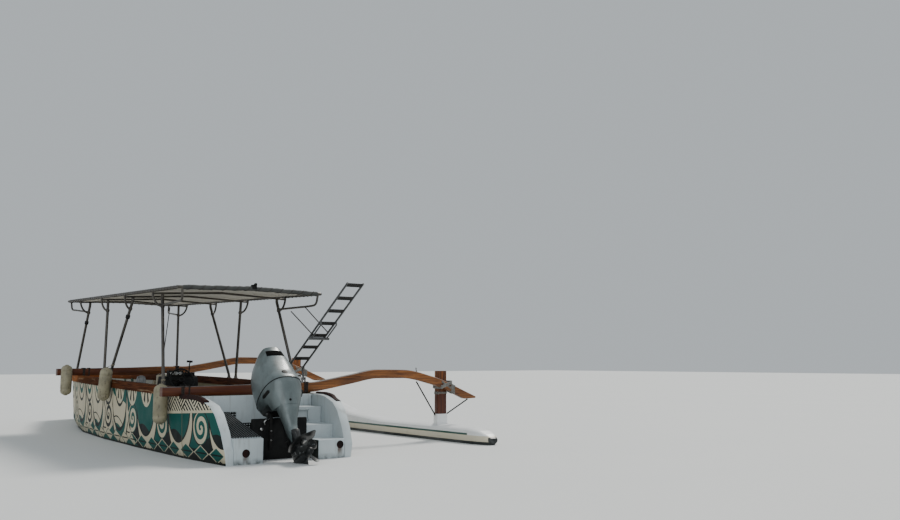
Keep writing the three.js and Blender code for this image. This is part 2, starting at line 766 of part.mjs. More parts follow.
function makeLadderHinges() {
  const [px, pz] = LADDER_PIVOT;
  const cheek = { gap: 6, thick: 6, tall: 75, half: 25 };
  LADDER_RAIL_Y.forEach((y, i) => {
    const { under, depth } = iakoUnder(y);
    const seat = IAKO_AFT_Z + under + depth + GAP;
    const near = LADDER_TUBE + cheek.gap;
    const cheeks = [[-near - cheek.thick, -near], [near, near + cheek.thick]].map(([a, b]) => (
      box(px - cheek.half, px + cheek.half, y + a, y + b, seat, seat + cheek.tall)
    ));
    const plate = box(px - 30, px + 30, y - 40, y + 40, seat, seat + 6);
    const bore = rod([px, y - 40, pz], [px, y + 40, pz], LADDER_PIN + 0.5, 12);
    add(`ladder_hinge_${i + 1}`, cut(join(plate, ...cheeks), bore), 'steel');
  });
}

makeLadder();
makeLadderHinges();

// Outboard motor
const CLAMP = { tube: 20 };
const motor = new THREE.Group();
motor.position.set(...TILT_AXIS);
motor.rotation.y = THREE.MathUtils.degToRad(TILT_DEGREES);
boat.add(motor);

// Cowl. Columns: z, rear x, front x, half-width
const cowlLines = [
  [-50, -400, 148, 188],
  [130, -437, 238, 268],
  [312, -472, 268, 288],
  [480, -377, 253, 290],
  [640, -319, 198, 262],
  [770, -287, 104, 206],
  [865, -254, -4, 158],
  [905, -243, -68, 122],
];
// Middle of the motor, from the cowl down to the leg
const apronLines = [
  [-405, -330, -155, 70],
  [-318, -323, -155, 80],
  [-207, -347, -155, 105],
  [-114, -386, -155, 135],
  [-44, -394, -157, 152],
];
// Leg, from there down to the gearcase
const legLines = [
  [-800, -415, -135, 42],
  [-600, -390, -112, 54],
  [-462, -378, -112, 64],
  [-458, -378, -155, 66],
  [-406, -372, -155, 72],
];
// Outline of the flat plate above the propeller, x and y
const plateOutline = [
  [-740, 60], [-560, 120], [-300, 128], [-112, 60],
  [-112, -60], [-300, -128], [-560, -120], [-740, -60],
];
// Seam between the cover and the cowl's lower part: z on the tilt axis, and its fall per unit of x
const SEAM = { z: 190, fall: 0.25 };
// Corner cut out of the cowl's lower part over the clamp, which clears it at every angle
const NOTCH = { x: -185, z: 56 };
const COWL_SQUARENESS = 2.5;
const COWL_SIDES = 16;

function motorSection([z, rear, front, half]) {
  const [middle, reach] = [(rear + front) / 2, (front - rear) / 2];
  const squared = (value) => Math.sign(value) * Math.abs(value) ** (2 / COWL_SQUARENESS);
  return Array.from({ length: COWL_SIDES }, (_, k) => {
    const angle = (2 * Math.PI * (k + 0.5)) / COWL_SIDES;
    return [middle + reach * squared(Math.cos(angle)), half * squared(Math.sin(angle)), z];
  });
}

// Large block on one side of the seam
function seamBlock(way, offset) {
  const size = 2000;
  const lean = Math.atan(SEAM.fall);
  const middle = (way * size) / 2 + offset;
  return new THREE.BoxGeometry(size, size, size).rotateY(lean)
    .translate(Math.sin(lean) * middle, 0, SEAM.z + Math.cos(lean) * middle);
}

function makeMotor() {
  const cowl = loft(cowlLines.map(motorSection));
  add('motor_cover', cut(cowl, seamBlock(-1, GAP)), 'motor', motor);
  const overClamp = box(NOTCH.x, 600, -600, 600, -600, NOTCH.z);
  const lower = cut(cowl, seamBlock(1, 0), overClamp);
  const head = box(SWIVEL_X - 60, SWIVEL_X + 35, -40, 40, SWIVEL_TOP + GAP, NOTCH.z + 2);
  add('motor_apron', join(lower, loft(apronLines.map(motorSection)), head), 'motor', motor);
  const leg = loft(legLines.map(motorSection));
  const plate = loft([-622, -610].map((z) => plateOutline.map(([x, y]) => [x, y, z])));
  const shape = [[0, 0], [26, 10], [52, 80], [62, 190], [62, 330], [50, 404], [0, 407]];
  const gearcase = new THREE.LatheGeometry(shape.map(([r, run]) => new THREE.Vector2(r, run)), 12)
    .rotateZ(Math.PI / 2).translate(-78, 0, PROP_AXIS_Z);
  const skegOutline = [[-470, -50], [-440, -215], [-330, -215], [-180, -40]];
  const skeg = loft([-7, 7].map((y) => skegOutline.map(([x, drop]) => [x, y, PROP_AXIS_Z + drop])));
  const heel = box(SWIVEL_X - 70, SWIVEL_X + 35, -36, 36, SWIVEL_FOOT - 26, SWIVEL_FOOT - GAP);
  const shaft = rod([-470, 0, PROP_AXIS_Z], [PROP_X + 55 + GAP, 0, PROP_AXIS_Z], 14);
  add('motor_gearcase', join(leg, plate, gearcase, skeg, heel, shaft), 'black', motor);
}

function makePropeller() {
  const hub = new THREE.CylinderGeometry(50, 45, 110, 12).rotateZ(Math.PI / 2);
  const blades = [45, 165, 285].map((degrees) => {
    const blade = new THREE.SphereGeometry(1, 10, 6).scale(8, 70, 75).translate(0, 0, 110);
    return blade.rotateZ(THREE.MathUtils.degToRad(28)).rotateX(THREE.MathUtils.degToRad(degrees));
  });
  const propeller = join(hub, ...blades).translate(PROP_X, 0, PROP_AXIS_Z);
  add('propeller', propeller, 'steel', motor);
}

// Housing that the motor steers in, hung on the tilt tube
function makeSwivel() {
  const housing = rod([SWIVEL_X, 0, SWIVEL_FOOT], [SWIVEL_X, 0, SWIVEL_TOP], 42, 12);
  const neck = box(SWIVEL_X, -40, -60, 60, -40, SWIVEL_TOP);
  const yoke = box(-60, 24, -100, 100, -40, SWIVEL_TOP);
  const bore = rod([0, -110, 0], [0, 110, 0], CLAMP.tube + 0.5, 16);
  add('motor_swivel', cut(join(housing, neck, yoke), bore), 'black', motor);
}

// Brackets clamped over the engine board, with the tilt tube between them
function makeClamp() {
  const [ax, , az] = TILT_AXIS;
  const aft = WELL_FRONT_X - GAP;
  const seat = ENGINE_BOARD_TOP_Z + GAP;
  const front = WELL_FRONT_X + ENGINE_BOARD_THICK;
  const profile = [
    [aft, 120], [aft - 30, 180], [aft - 30, az], [ax - 12, az + 36], [ax + 24, az + 28],
    [front + 30, seat + 8], [front + 30, seat], [aft, seat],
  ];
  const cheeks = [[-165, -125], [125, 165]].map((ends) => (
    loft(ends.map((y) => profile.map(([x, z]) => [x, y, z])))
  ));
  const tiltTube = rod([ax, -170, az], [ax, 170, az], CLAMP.tube, 16);
  add('motor_clamp', join(...cheeks, tiltTube), 'black');
}

makeMotor();
makePropeller();
makeSwivel();
makeClamp();

export default boat;
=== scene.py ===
import math

import bmesh
import bpy
import numpy as np
from mathutils import Matrix, Vector


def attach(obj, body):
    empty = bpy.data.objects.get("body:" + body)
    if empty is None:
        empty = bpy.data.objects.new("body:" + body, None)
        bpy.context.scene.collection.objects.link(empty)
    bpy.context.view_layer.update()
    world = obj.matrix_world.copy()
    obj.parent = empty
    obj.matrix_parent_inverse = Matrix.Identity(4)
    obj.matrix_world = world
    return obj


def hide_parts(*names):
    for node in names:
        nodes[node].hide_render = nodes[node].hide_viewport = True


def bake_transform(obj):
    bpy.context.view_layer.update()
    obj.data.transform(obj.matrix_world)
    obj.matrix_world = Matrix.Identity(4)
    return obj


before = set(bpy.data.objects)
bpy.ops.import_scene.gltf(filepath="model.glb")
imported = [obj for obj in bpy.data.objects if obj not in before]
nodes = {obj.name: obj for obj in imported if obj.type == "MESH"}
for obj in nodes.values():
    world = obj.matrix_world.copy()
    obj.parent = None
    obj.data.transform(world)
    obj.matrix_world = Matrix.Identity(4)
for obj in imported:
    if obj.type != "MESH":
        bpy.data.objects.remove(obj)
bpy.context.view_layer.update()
scene = bpy.context.scene


# Node sockets with arithmetic
def operator(operation):
    return lambda self, *others: self.math(operation, *others)


class Sock:
    def __init__(self, tree, out):
        self.tree = tree
        self.out = out

    def math(self, operation, *others):
        node = new_node(self.tree, "ShaderNodeMath", dict(enumerate((self, *others))), operation=operation)
        return Sock(self.tree, node.outputs[0])

    def __rsub__(self, other):
        return self.math("MULTIPLY", -1.0).math("ADD", other)

    __add__ = __radd__ = operator("ADD")
    __sub__ = operator("SUBTRACT")
    __mul__ = __rmul__ = operator("MULTIPLY")
    __truediv__ = operator("DIVIDE")
    __lt__ = operator("LESS_THAN")
    __gt__ = operator("GREATER_THAN")
    __abs__ = operator("ABSOLUTE")

    def ramp(self, low, high):
        """0 at low, 1 at high, straight between."""
        node = new_node(self.tree, "ShaderNodeMapRange", {0: self, 1: low, 2: high})
        return Sock(self.tree, node.outputs[0])


def put(tree, socket, value):
    if isinstance(value, Sock):
        tree.links.new(value.out, socket)
    elif isinstance(value, tuple) and len(value) == 3 and socket.type == "RGBA":
        socket.default_value = (*value, 1.0)
    else:
        socket.default_value = value


def new_node(tree, kind, values, **settings):
    """Node with its settings, and with values or links put in by the inputs' names or numbers."""
    node = tree.nodes.new(kind)
    for name, setting in settings.items():
        setattr(node, name, setting)
    for key, value in values.items():
        put(tree, node.inputs[key], value)
    return node


class Paint:
    """One procedural material and the fields that its colours are made from."""

    def __init__(self, name):
        self.material = bpy.data.materials.new(name)
        self.material.use_nodes = True
        self.tree = self.material.node_tree
        self.shader = self.tree.nodes["Principled BSDF"]
        self.place = self.node("ShaderNodeTexCoord", {}, "Object")
        self.x, self.y, self.z = self.parts(self.place)
        self.nx, self.ny, self.nz = self.parts(self.node("ShaderNodeNewGeometry", {}, "Normal"))

    def node(self, kind, values, output=0, **settings):
        return Sock(self.tree, new_node(self.tree, kind, values, **settings).outputs[output])

    def parts(self, vector):
        split = new_node(self.tree, "ShaderNodeSeparateXYZ", {0: vector})
        return [Sock(self.tree, out) for out in split.outputs]

    def noise(self, scale, detail=4.0, stretch=(1, 1, 1), warp=0.0):
        place = self.node("ShaderNodeMapping", {0: self.place, "Scale": stretch})
        values = {"Vector": place, "Scale": scale, "Detail": detail, "Distortion": warp}
        return self.node("ShaderNodeTexNoise", values, "Fac")

    def cells(self, scale):
        return self.node("ShaderNodeTexVoronoi", {"Vector": self.place, "Scale": scale}, "Distance")

    def mix(self, part, a, b):
        return self.node("ShaderNodeMix", {"Factor": part, 6: a, 7: b}, 2, data_type="RGBA")

    def stain(self, color, shade, amount, scale, reach, detail=6.0, stretch=(1, 1, 1)):
        """Patches of a shade over a colour, where a noise lies within its reach or above it."""
        return self.mix(self.noise(scale, detail, stretch).ramp(*reach) * amount, color, shade)

    def most(self, a, b):
        return a.math("MAXIMUM", b)

    def finish(self, color, rough=0.5, metal=0.0, bump=None, depth=0.001, **sockets):
        values = {"Base Color": color, "Roughness": rough, "Metallic": metal}
        values.update({name.replace("_", " "): value for name, value in sockets.items()})
        if bump is not None:
            surface = {"Distance": depth, "Strength": 0.6, "Height": bump}
            values["Normal"] = self.node("ShaderNodeBump", surface)
        for name, value in values.items():
            put(self.tree, self.shader.inputs[name], value)
        return self.material


def worn(name, base, other, rough, metal=0.0, scale=9.0, grain=220.0, depth=0.0006, **sockets):
    """Two tones in patches, with a fine grain in the gloss and the surface."""
    paint = Paint(name)
    patches = paint.noise(scale, 6.0).ramp(0.35, 0.7)
    fine = paint.noise(grain, 3.0)
    shade = paint.mix(patches * 0.8 + fine * 0.2, base, other)
    gloss = patches * (rough[1] - rough[0]) + rough[0]
    return paint.finish(shade, gloss, metal, fine, depth, **sockets)


def darker(color, share):
    return tuple(c * share for c in color)


TILT = math.radians(30)
MOTOR_X, MOTOR_Z = 0.4, 0.6
SCUPPERS = ((0.642, 0.141), (-0.730, 0.180))
CREAM = (0.56, 0.50, 0.36)
TEAL = (0.001, 0.080, 0.068)
INK = (0.004, 0.007, 0.008)
WHITE = (0.50, 0.56, 0.58)
OLIVE = (0.135, 0.120, 0.078)


def hull_paint():
    """Bold bands, scrolls and hatching of a made-up design on the outsides, plain paint elsewhere."""
    p = Paint("hull_paint")
    x, z = p.x, p.z
    cell = 1.30
    scroll_z, petal_z, leaf_z = 0.44, 1.06, 0.115
    border_end, cockpit_x, bow_x = 2.15, 1.2145, 7.9

    def radius(u, middle_z, squash=1.0, middle=0.0):
        along, up = u - middle, (z - middle_z) * squash
        return (along * along + up * up).math("SQRT")

    def band(value, low, high):
        return (value > low) * (value < high)

    local = x.math("FLOORED_MODULO", cell) - cell / 2
    other = (x + cell / 2).math("FLOORED_MODULO", cell) - cell / 2
    forward = ((x * 3.3 + z * 4.0).math("SINE") * 0.22 + x - z * 1.5) > 2.85
    # Ground: teal over a dark wave aft, cream with a thin wave line forward
    wave = (x * (2 * math.pi / cell) + 0.6).math("SINE") * 0.11 + 0.27
    ground = p.mix(z < wave, TEAL, INK)
    line = abs(z - wave - 0.05) < 0.011
    ground = p.mix(forward, ground, p.mix(z < wave - 0.06, p.mix(line, CREAM, INK), TEAL))
    # Crescents lying on the wave, horns up
    outer = radius(other, 0.52, 0.80)
    inner = radius(other, 0.70, 0.80, 0.05)
    moon = (outer < 0.40) * (inner > 0.40)
    rim = (outer < forward * 0.015 + 0.425) * (inner > forward * -0.020 + 0.375)
    ground = p.mix(rim, ground, INK)
    ground = p.mix(moon, ground, p.mix(forward, CREAM, p.mix(outer < 0.325, CREAM, TEAL)))
    # Round scroll in each gap
    r = radius(local, scroll_z)
    angle = (z - scroll_z).math("ARCTAN2", local) / (2 * math.pi)
    arm = (r / 0.120 - angle).math("FRACT")
    ground = p.mix(r < forward * 0.027 + 0.235, ground, p.mix(forward, INK, CREAM))
    coil = p.mix(arm < 0.5, p.mix(forward, CREAM, INK), p.mix(forward, TEAL, CREAM))
    ground = p.mix(r < 0.215, ground, coil)
    # Petals that hang from the rail forward, with two thin lines below each
    petal = (x + 0.30).math("FLOORED_MODULO", cell * 0.5) - cell * 0.25
    hang = radius(petal, petal_z, 0.62)
    drop = p.mix(hang < 0.150, TEAL, p.mix(hang < 0.105, CREAM, INK))
    ground = p.mix(forward * (hang < 0.245), ground, p.mix(hang < 0.205, CREAM, drop))
    ground = p.mix(forward * band(hang, 0.262, 0.292), ground, INK)
    fan = (1.0 - forward) * (x > 2.17) * (hang < 0.265)
    rays = ((z - petal_z).math("ARCTAN2", petal) * 2.1).math("FRACT") < 0.42
    ground = p.mix(fan, ground, p.mix(hang < 0.235, CREAM, p.mix(hang < 0.120, p.mix(rays, CREAM, INK), INK)))
    # Row of pointed leaves along the foot
    leaf = (x * 2.3).math("FLOORED_MODULO", 1.0) - 0.5
    blade = (0.105 - abs(leaf) * 0.21) - abs(z - leaf_z)
    ground = p.mix(blade > 0.0, ground, p.mix(forward, CREAM, TEAL))
    ground = p.mix(blade > 0.014, ground, p.mix(forward, TEAL, CREAM))
    ground = p.mix((blade > 0.030) * (abs(z - leaf_z) < 0.010), ground, INK)
    # Hatched border of triangles on the aft quarter, and the pale line below it
    tip = x.math("PINGPONG", 0.20)
    rise = z + x * 0.050 - 0.700
    hatch, back = ((x * way + rise * 1.1).math("FLOORED_MODULO", 0.084) < 0.040 for way in (1.0, -1.0))
    teeth = rise < tip * 1.15
    border = band(rise, 0.0, 0.30) * (x < border_end)
    ground = p.mix(border, ground, p.mix(p.mix(teeth, hatch, back), INK, (0.66, 0.60, 0.45)))
    ground = p.mix(band(rise, -0.034, 0.0) * (x < border_end), ground, CREAM)
    ground = p.mix(band(x, 2.12, 2.17) * (rise > -0.034), ground, CREAM)
    # Dark line along the foot
    ground = p.mix(z < 0.030, ground, (0.006, 0.008, 0.006))
    # Weather: bleached patches, runs and a dark film near the water
    ground = p.stain(ground, (0.30, 0.31, 0.24), 0.05, 1.4, (0.45, 0.8), 5.0)
    ground = p.stain(ground, (0.05, 0.045, 0.028), 0.22, 9.0, (0.55, 0.8), 4.0, (1, 1, 0.12))
    film = p.noise(11.0, 5.0).ramp(0.3, 0.7) * (0.12 - z).ramp(0.0, 0.12)
    ground = p.mix(film * 0.85, ground, (0.012, 0.014, 0.009))
    # Insides, tops and ends: plain paint
    plain = p.stain(WHITE, (0.36, 0.39, 0.38), 0.5, 3.0, (0.4, 0.75))
    plain = p.stain(plain, (0.20, 0.19, 0.15), 0.5, 14.0, (0.55, 0.8), 4.0, (1, 1, 0.1))
    cockpit = p.mix(p.noise(4.0, 5.0), OLIVE, (0.22, 0.20, 0.135))
    plain = p.mix(x > cockpit_x, plain, p.mix(x > bow_x, cockpit, (0.36, 0.37, 0.34)))
    side = p.ny * p.y.math("SIGN") > 0.6
    return p.finish(p.mix(side, plain, ground), p.noise(6.0, 5.0) * 0.3 + 0.40, 0.0, p.noise(160.0, 2.0),
                    0.0003, Specular_IOR_Level=0.14)


def gelcoat(name="gelcoat", tint=WHITE, stern=True):
    p = Paint(name)
    color = p.stain(tint, darker(tint, 0.72), 0.6, 2.2, (0.35, 0.75))
    color = p.stain(color, (0.15, 0.135, 0.10), 0.45, 16.0, (0.56, 0.8), 5.0, (1, 1, 0.08))
    specks = p.cells(38.0) < 0.13
    color = p.mix(specks * p.noise(5.0).ramp(0.5, 0.7) * 0.7, color, (0.10, 0.085, 0.065))
    if stern:
        for cy, cz in SCUPPERS:
            down = (cz - p.z).ramp(-0.02, 0.05) * (p.z - cz + 0.17).ramp(0.0, 0.10)
            across = (abs(p.y - cy) * -1.0 + 0.050).ramp(0.0, 0.03)
            stain = down * across * p.noise(30.0, 5.0, (1, 1, 0.2)).ramp(0.25, 0.55)
            color = p.mix(stain * (p.x < 0.05), color, (0.07, 0.035, 0.015))
        # Painted shade: the inside of the motor well is near black, in patches
        well = (abs(p.y) < 0.403) * (p.x > 0.0) * (p.z < 0.445)
        color = p.mix(well, color, p.mix(p.noise(9.0, 5.0), (0.006, 0.008, 0.008), (0.020, 0.026, 0.022)))
    film = p.noise(13.0, 5.0).ramp(0.35, 0.65) * (0.08 - p.z).ramp(0.0, 0.08)
    color = p.mix(film * 0.9, color, (0.02, 0.022, 0.014))
    return p.finish(color, p.noise(5.0, 5.0) * 0.3 + 0.25, 0.0, p.noise(90.0, 3.0), 0.0003,
                    Specular_IOR_Level=0.4)


def timber(name, light, dark, weathered, shift, along=(0.06, 1, 1), shine=0.35):
    """Varnished wood with grain along one axis, grey to the sky. Shift: a second shade along an axis, which
    the rails and beams use as painted light and shade.
    """
    p = Paint(name)
    grain = p.noise(42.0, 6.0, along, 0.6)
    broad = p.noise(5.0, 3.0, along, 0.4)
    color = p.mix(grain.ramp(0.35, 0.68), light, dark)
    # Second tone along an axis: painted light and shade on the rails and beams
    place, low, high, shade = shift
    color = p.mix({"x": p.x, "y": p.y, "z": p.z}[place].ramp(low, high) * (grain * 0.3 + 0.7), color, shade)
    color = p.mix(broad.ramp(0.45, 0.7) * 0.7, color, darker(dark, 0.35))
    color = p.stain(color, (0.50, 0.36, 0.22), 0.5, 19.0, (0.62, 0.72), 6.0, along)
    sky = p.nz.ramp(0.55, 0.95) * p.noise(7.0, 6.0, along).ramp(0.2, 0.42)
    color = p.mix(sky * weathered, color, (0.16, 0.165, 0.165))
    gloss = sky * 0.35 + grain * 0.25 + (0.66 - shine)
    return p.finish(color, gloss, 0.0, grain, 0.0009, Specular_IOR_Level=shine)


def ama_paint():
    """White float: a straight green line, cream below it, painted shadow along the foot, and a dark aft end.
    """
    p = Paint("ama_paint")
    level = p.z + p.noise(3.0, 3.0) * 0.004
    color = p.mix(level < 0.140, (0.76, 0.77, 0.77), (0.62, 0.56, 0.43))
    color = p.mix((level < 0.172) * (level > 0.140) * (p.x > 0.55), color, (0.0, 0.055, 0.044))
    # Painted shadow along the foot, and the dark aft end
    color = p.mix((level < 0.050) + (p.x < 0.13), color, INK)
    color = p.stain(color, (0.24, 0.21, 0.15), 0.25, 10.0, (0.56, 0.85), 5.0, (1, 1, 0.15))
    color = p.stain(color, (0.48, 0.49, 0.47), 0.25, 2.0, (0.4, 0.8))
    return p.finish(color, p.noise(6.0, 5.0) * 0.3 + 0.25, 0.0, p.noise(70.0, 3.0), 0.0005)


def motor_paint():
    """Grey-green enamel, with painted shade towards the front and the bottom, and black below the pointed
    skirt of the apron.
    """
    p = Paint("motor_paint")
    cos, sin = math.cos(TILT), math.sin(TILT)
    u = (p.x - MOTOR_X) * cos - (p.z - MOTOR_Z) * sin
    w = (p.x - MOTOR_X) * sin + (p.z - MOTOR_Z) * cos
    flake = p.noise(700.0, 2.0)
    color = p.stain((0.135, 0.168, 0.172), (0.074, 0.095, 0.096), 1.0, 3.5, (0.35, 0.72))
    color = p.mix(flake.ramp(0.4, 0.8) * 0.2, color, (0.26, 0.31, 0.31))
    color = p.stain(color, (0.042, 0.048, 0.044), 0.55, 11.0, (0.46, 0.72), 6.0, (1, 1, 0.14))
    scratches = p.noise(60.0, 3.0, (1, 0.1, 1.4), 1.5).ramp(0.70, 0.74)
    color = p.mix(scratches * 0.4, color, (0.30, 0.32, 0.31))
    # Painted shade: darker towards the front and the bottom of the motor
    shade = u.ramp(-0.36, -0.06) * (w * -1.0).ramp(-0.34, -0.04) * 0.92
    color = p.mix(shade, color, (0.020, 0.026, 0.026))
    skirt = p.most((u + 0.28) * 2.24, (u + 0.28) * -3.2) - 0.58
    color = p.mix((w < -0.045) * (w < skirt), color, (0.006, 0.007, 0.007))
    return p.finish(color, p.noise(8.0, 5.0) * 0.22 + 0.28, 0.15, flake, 0.00012,
                    Coat_Weight=0.25, Coat_Roughness=0.15)


def screw_paint():
    """Dark enamel, bright metal on the lower starboard side and in small patches."""
    p = Paint("screw_metal")
    color = p.stain((0.006, 0.007, 0.007), (0.022, 0.024, 0.024), 1.0, 9.0, (0.35, 0.7), 5.0)
    # Bright metal on the lower starboard side
    bright_side = (p.y * -1.0).ramp(0.035, 0.075) * (0.02 - p.z).ramp(-0.05, 0.04)
    edges = p.noise(26.0, 5.0).ramp(0.60, 0.70) * 0.3
    color = p.mix(p.most(bright_side, edges), color, (0.42, 0.45, 0.45))
    return p.finish(color, p.noise(12.0, 4.0) * 0.25 + 0.30, 0.15, p.noise(180.0, 2.0), 0.0003,
                    Specular_IOR_Level=0.2)


def canvas():
    p = Paint("canvas")
    warp = (p.x * 900.0).math("SINE")
    weft = (p.y * 900.0).math("SINE")
    color = p.stain((0.40, 0.37, 0.29), (0.30, 0.28, 0.225), 1.0, 1.6, (0.35, 0.75))
    color = p.stain(color, (0.24, 0.21, 0.16), 0.5, 12.0, (0.62, 0.8))
    seam = (p.x - 0.16).math("FLOORED_MODULO", 1.52) < 0.028
    color = p.mix(seam * 0.6, color, (0.33, 0.30, 0.24))
    creases = p.noise(7.0, 4.0, (1, 0.4, 1), 1.2)
    return p.finish(color, 0.88, 0.0, warp * weft * 0.15 + creases, 0.004, Sheen_Weight=0.2)


def vinyl(name, light, dark, dirt):
    p = Paint(name)
    color = p.stain(light, dark, 1.0, 6.0, (0.35, 0.7))
    color = p.stain(color, dirt, 0.75, 24.0, (0.56, 0.72), 6.0, (1, 1, 0.6))
    pores = p.noise(420.0, 2.0) + p.noise(28.0, 3.0) * 2.0
    return p.finish(color, p.noise(9.0, 4.0) * 0.3 + 0.38, 0.0, pores, 0.0005)


def mat_rubber():
    """Perforated mat, with pale round holes in rows, darker on upright faces as painted shade."""
    p = Paint("mat_rubber")
    pitch = 0.036
    u = (p.x + p.z).math("FLOORED_MODULO", pitch) - pitch / 2
    v = p.y.math("FLOORED_MODULO", pitch) - pitch / 2
    away = (u * u + v * v).math("SQRT")
    hole = away < 0.0095
    rim = away < 0.0125
    black = p.mix(p.noise(9.0, 5.0), (0.003, 0.004, 0.004), (0.008, 0.008, 0.008))
    # Painted shade: holes darker on upright faces than on flat ones
    flat = p.nz.ramp(0.3, 0.8)
    color = p.mix(hole, black, p.mix(flat, (0.34, 0.37, 0.38), (0.20, 0.215, 0.22)))
    return p.finish(color, 0.8, 0.0, rim * -1.0 + p.noise(200.0) * 0.2, 0.002, Specular_IOR_Level=0.13)


def rope_paint(name, light, dark):
    p = Paint(name)
    lay = (p.x * 520.0 + p.y * 520.0 + p.z * 610.0).math("SINE")
    color = p.mix(lay.ramp(-0.6, 0.9), dark, light)
    color = p.stain(color, darker(dark, 0.4), 0.6, 14.0, (0.4, 0.7), 5.0)
    return p.finish(color, 0.85, 0.0, lay, 0.0012)


hull = hull_paint()
white_gel = gelcoat()
liner = gelcoat("liner", (0.40, 0.365, 0.275), False)
# Port rail: painted shade aft under the canopy, and painted light forward from x 5.0 to 7.6
rail_wood = timber("rail_wood", (0.115, 0.038, 0.014), (0.036, 0.012, 0.006), 0.16,
                   ("x", 5.0, 7.6, (0.38, 0.120, 0.022)), shine=0.04)
# Starboard rail: a darker copy of the rail wood as painted shade, with painted light forward from x 7.6 to
# 9.8
shaded_rail = timber("shaded_rail", (0.085, 0.026, 0.011), (0.022, 0.008, 0.005), 0.20,
                   ("x", 7.6, 9.8, (0.20, 0.058, 0.014)), shine=0.12)
# Beams: painted shadow of the canopy, darker towards port
beam_wood = timber("beam_wood", (0.285, 0.105, 0.025), (0.080, 0.026, 0.009), 0.97,
                   ("y", -0.6, 0.1, (0.072, 0.017, 0.009)), (1, 0.06, 1))
post_wood = timber("post_wood", (0.40, 0.125, 0.020), (0.05, 0.012, 0.005), 0.3,
                   ("z", 0.86, 0.74, (0.075, 0.012, 0.007)), (1, 1, 0.06))
float_paint = ama_paint()
steel = worn("steel", (0.042, 0.038, 0.035), (0.108, 0.098, 0.084), (0.3, 0.55), 0.6, 6.0, 300.0, 0.0004)
ladder_metal = worn("ladder_metal", (0.105, 0.108, 0.110), (0.050, 0.050, 0.048), (0.3, 0.5),
                    0.5, 7.0, 300.0, 0.0004)
bright = worn("bright", (0.50, 0.51, 0.51), (0.22, 0.215, 0.20), (0.2, 0.45), 1.0, 18.0, 400.0, 0.0003)
DULL = {"Specular_IOR_Level": 0.13}
black = worn("black_plastic", (0.005, 0.0055, 0.006), (0.016, 0.016, 0.015), (0.4, 0.65),
             0.0, 8.0, 320.0, 0.0005, **DULL)
dark_metal = worn("dark_metal", (0.005, 0.0055, 0.006), (0.018, 0.017, 0.016), (0.35, 0.6),
                  0.0, 10.0, 260.0, 0.0005, **DULL)
# Near-black: painted shade of the intake opening, also used for the fins
intake_black = worn("intake_black", (0.002, 0.002, 0.002), (0.005, 0.005, 0.005), (0.75, 0.9),
            0.0, 9.0, 300.0, 0.0004, Specular_IOR_Level=0.08)
rubber = worn("rubber", (0.006, 0.005, 0.005), (0.035, 0.012, 0.010), (0.55, 0.8),
              0.0, 7.0, 180.0, 0.001, **DULL)
grey_roll = worn("grey_canvas", (0.030, 0.032, 0.032), (0.075, 0.076, 0.070), (0.75, 0.95),
                 0.0, 9.0, 500.0, 0.0015)
cord_pale = rope_paint("cord_pale", (0.36, 0.32, 0.24), (0.16, 0.14, 0.10))
cord_grey = rope_paint("cord_grey", (0.33, 0.32, 0.29), (0.11, 0.105, 0.095))
cord_dark = rope_paint("cord_dark", (0.050, 0.036, 0.028), (0.014, 0.011, 0.009))
motor_shell = motor_paint()
screw_metal = screw_paint()
cloth_paint = canvas()
fender_paint = vinyl("fender_vinyl", (0.31, 0.28, 0.185), (0.195, 0.175, 0.115), (0.070, 0.052, 0.034))
seat_paint = vinyl("seat_vinyl", (0.48, 0.44, 0.36), (0.38, 0.35, 0.28), (0.20, 0.17, 0.13))
grey_vinyl = vinyl("grey_vinyl", (0.24, 0.25, 0.26), (0.17, 0.175, 0.18), (0.08, 0.08, 0.08))
mat_paint = mat_rubber()
green_label = worn("green_label", (0.004, 0.085, 0.050), (0.008, 0.05, 0.035), (0.4, 0.6), 0.0, 12.0)


# Shapes
def unit(v):
    return v / max(np.linalg.norm(v), 1e-12)


def spline(points, steps):
    """Smooth curve through points."""
    p = np.array(points, float)
    p = np.vstack([2 * p[0] - p[1], p, 2 * p[-1] - p[-2]])
    out = []
    for i in range(1, len(p) - 2):
        for k in range(steps):
            t = k / steps
            a, b, c, d = p[i - 1: i + 3]
            out.append(0.5 * (2 * b + (c - a) * t + (2 * a - 5 * b + 4 * c - d) * t ** 2
                              + (3 * b - a - 3 * c + d) * t ** 3))
    out.append(p[-2])
    return np.array(out)


def rounded(points, radius, steps=4):
    """Straight runs with a bend of about that radius at each corner."""
    p = [np.array(q, float) for q in points]
    out = [p[0]]
    for a, b, c in zip(p, p[1:], p[2:]):
        reach = min(radius, np.linalg.norm(b - a) * 0.45, np.linalg.norm(c - b) * 0.45)
        start, end = b + unit(a - b) * reach, b + unit(c - b) * reach
        for k in range(steps + 1):
            t = k / steps
            out.append((1 - t) ** 2 * start + 2 * t * (1 - t) * b + t ** 2 * end)
    out.append(p[-1])
    return np.array(out)


def circle(middle, radius, count, side=(1, 0, 0), up=(0, 0, 1)):
    """Points round a middle, from one direction towards another."""
    turn = np.arange(count) * 2 * math.pi / count
    return np.array(middle) + radius * (np.outer(np.cos(turn), side) + np.outer(np.sin(turn), up))


def rectangle(x, y0, y1, z0, z1):
    """Corners of a rectangle across the boat at a station."""
    return np.array([(x, y0, z0), (x, y1, z0), (x, y1, z1), (x, y0, z1)])


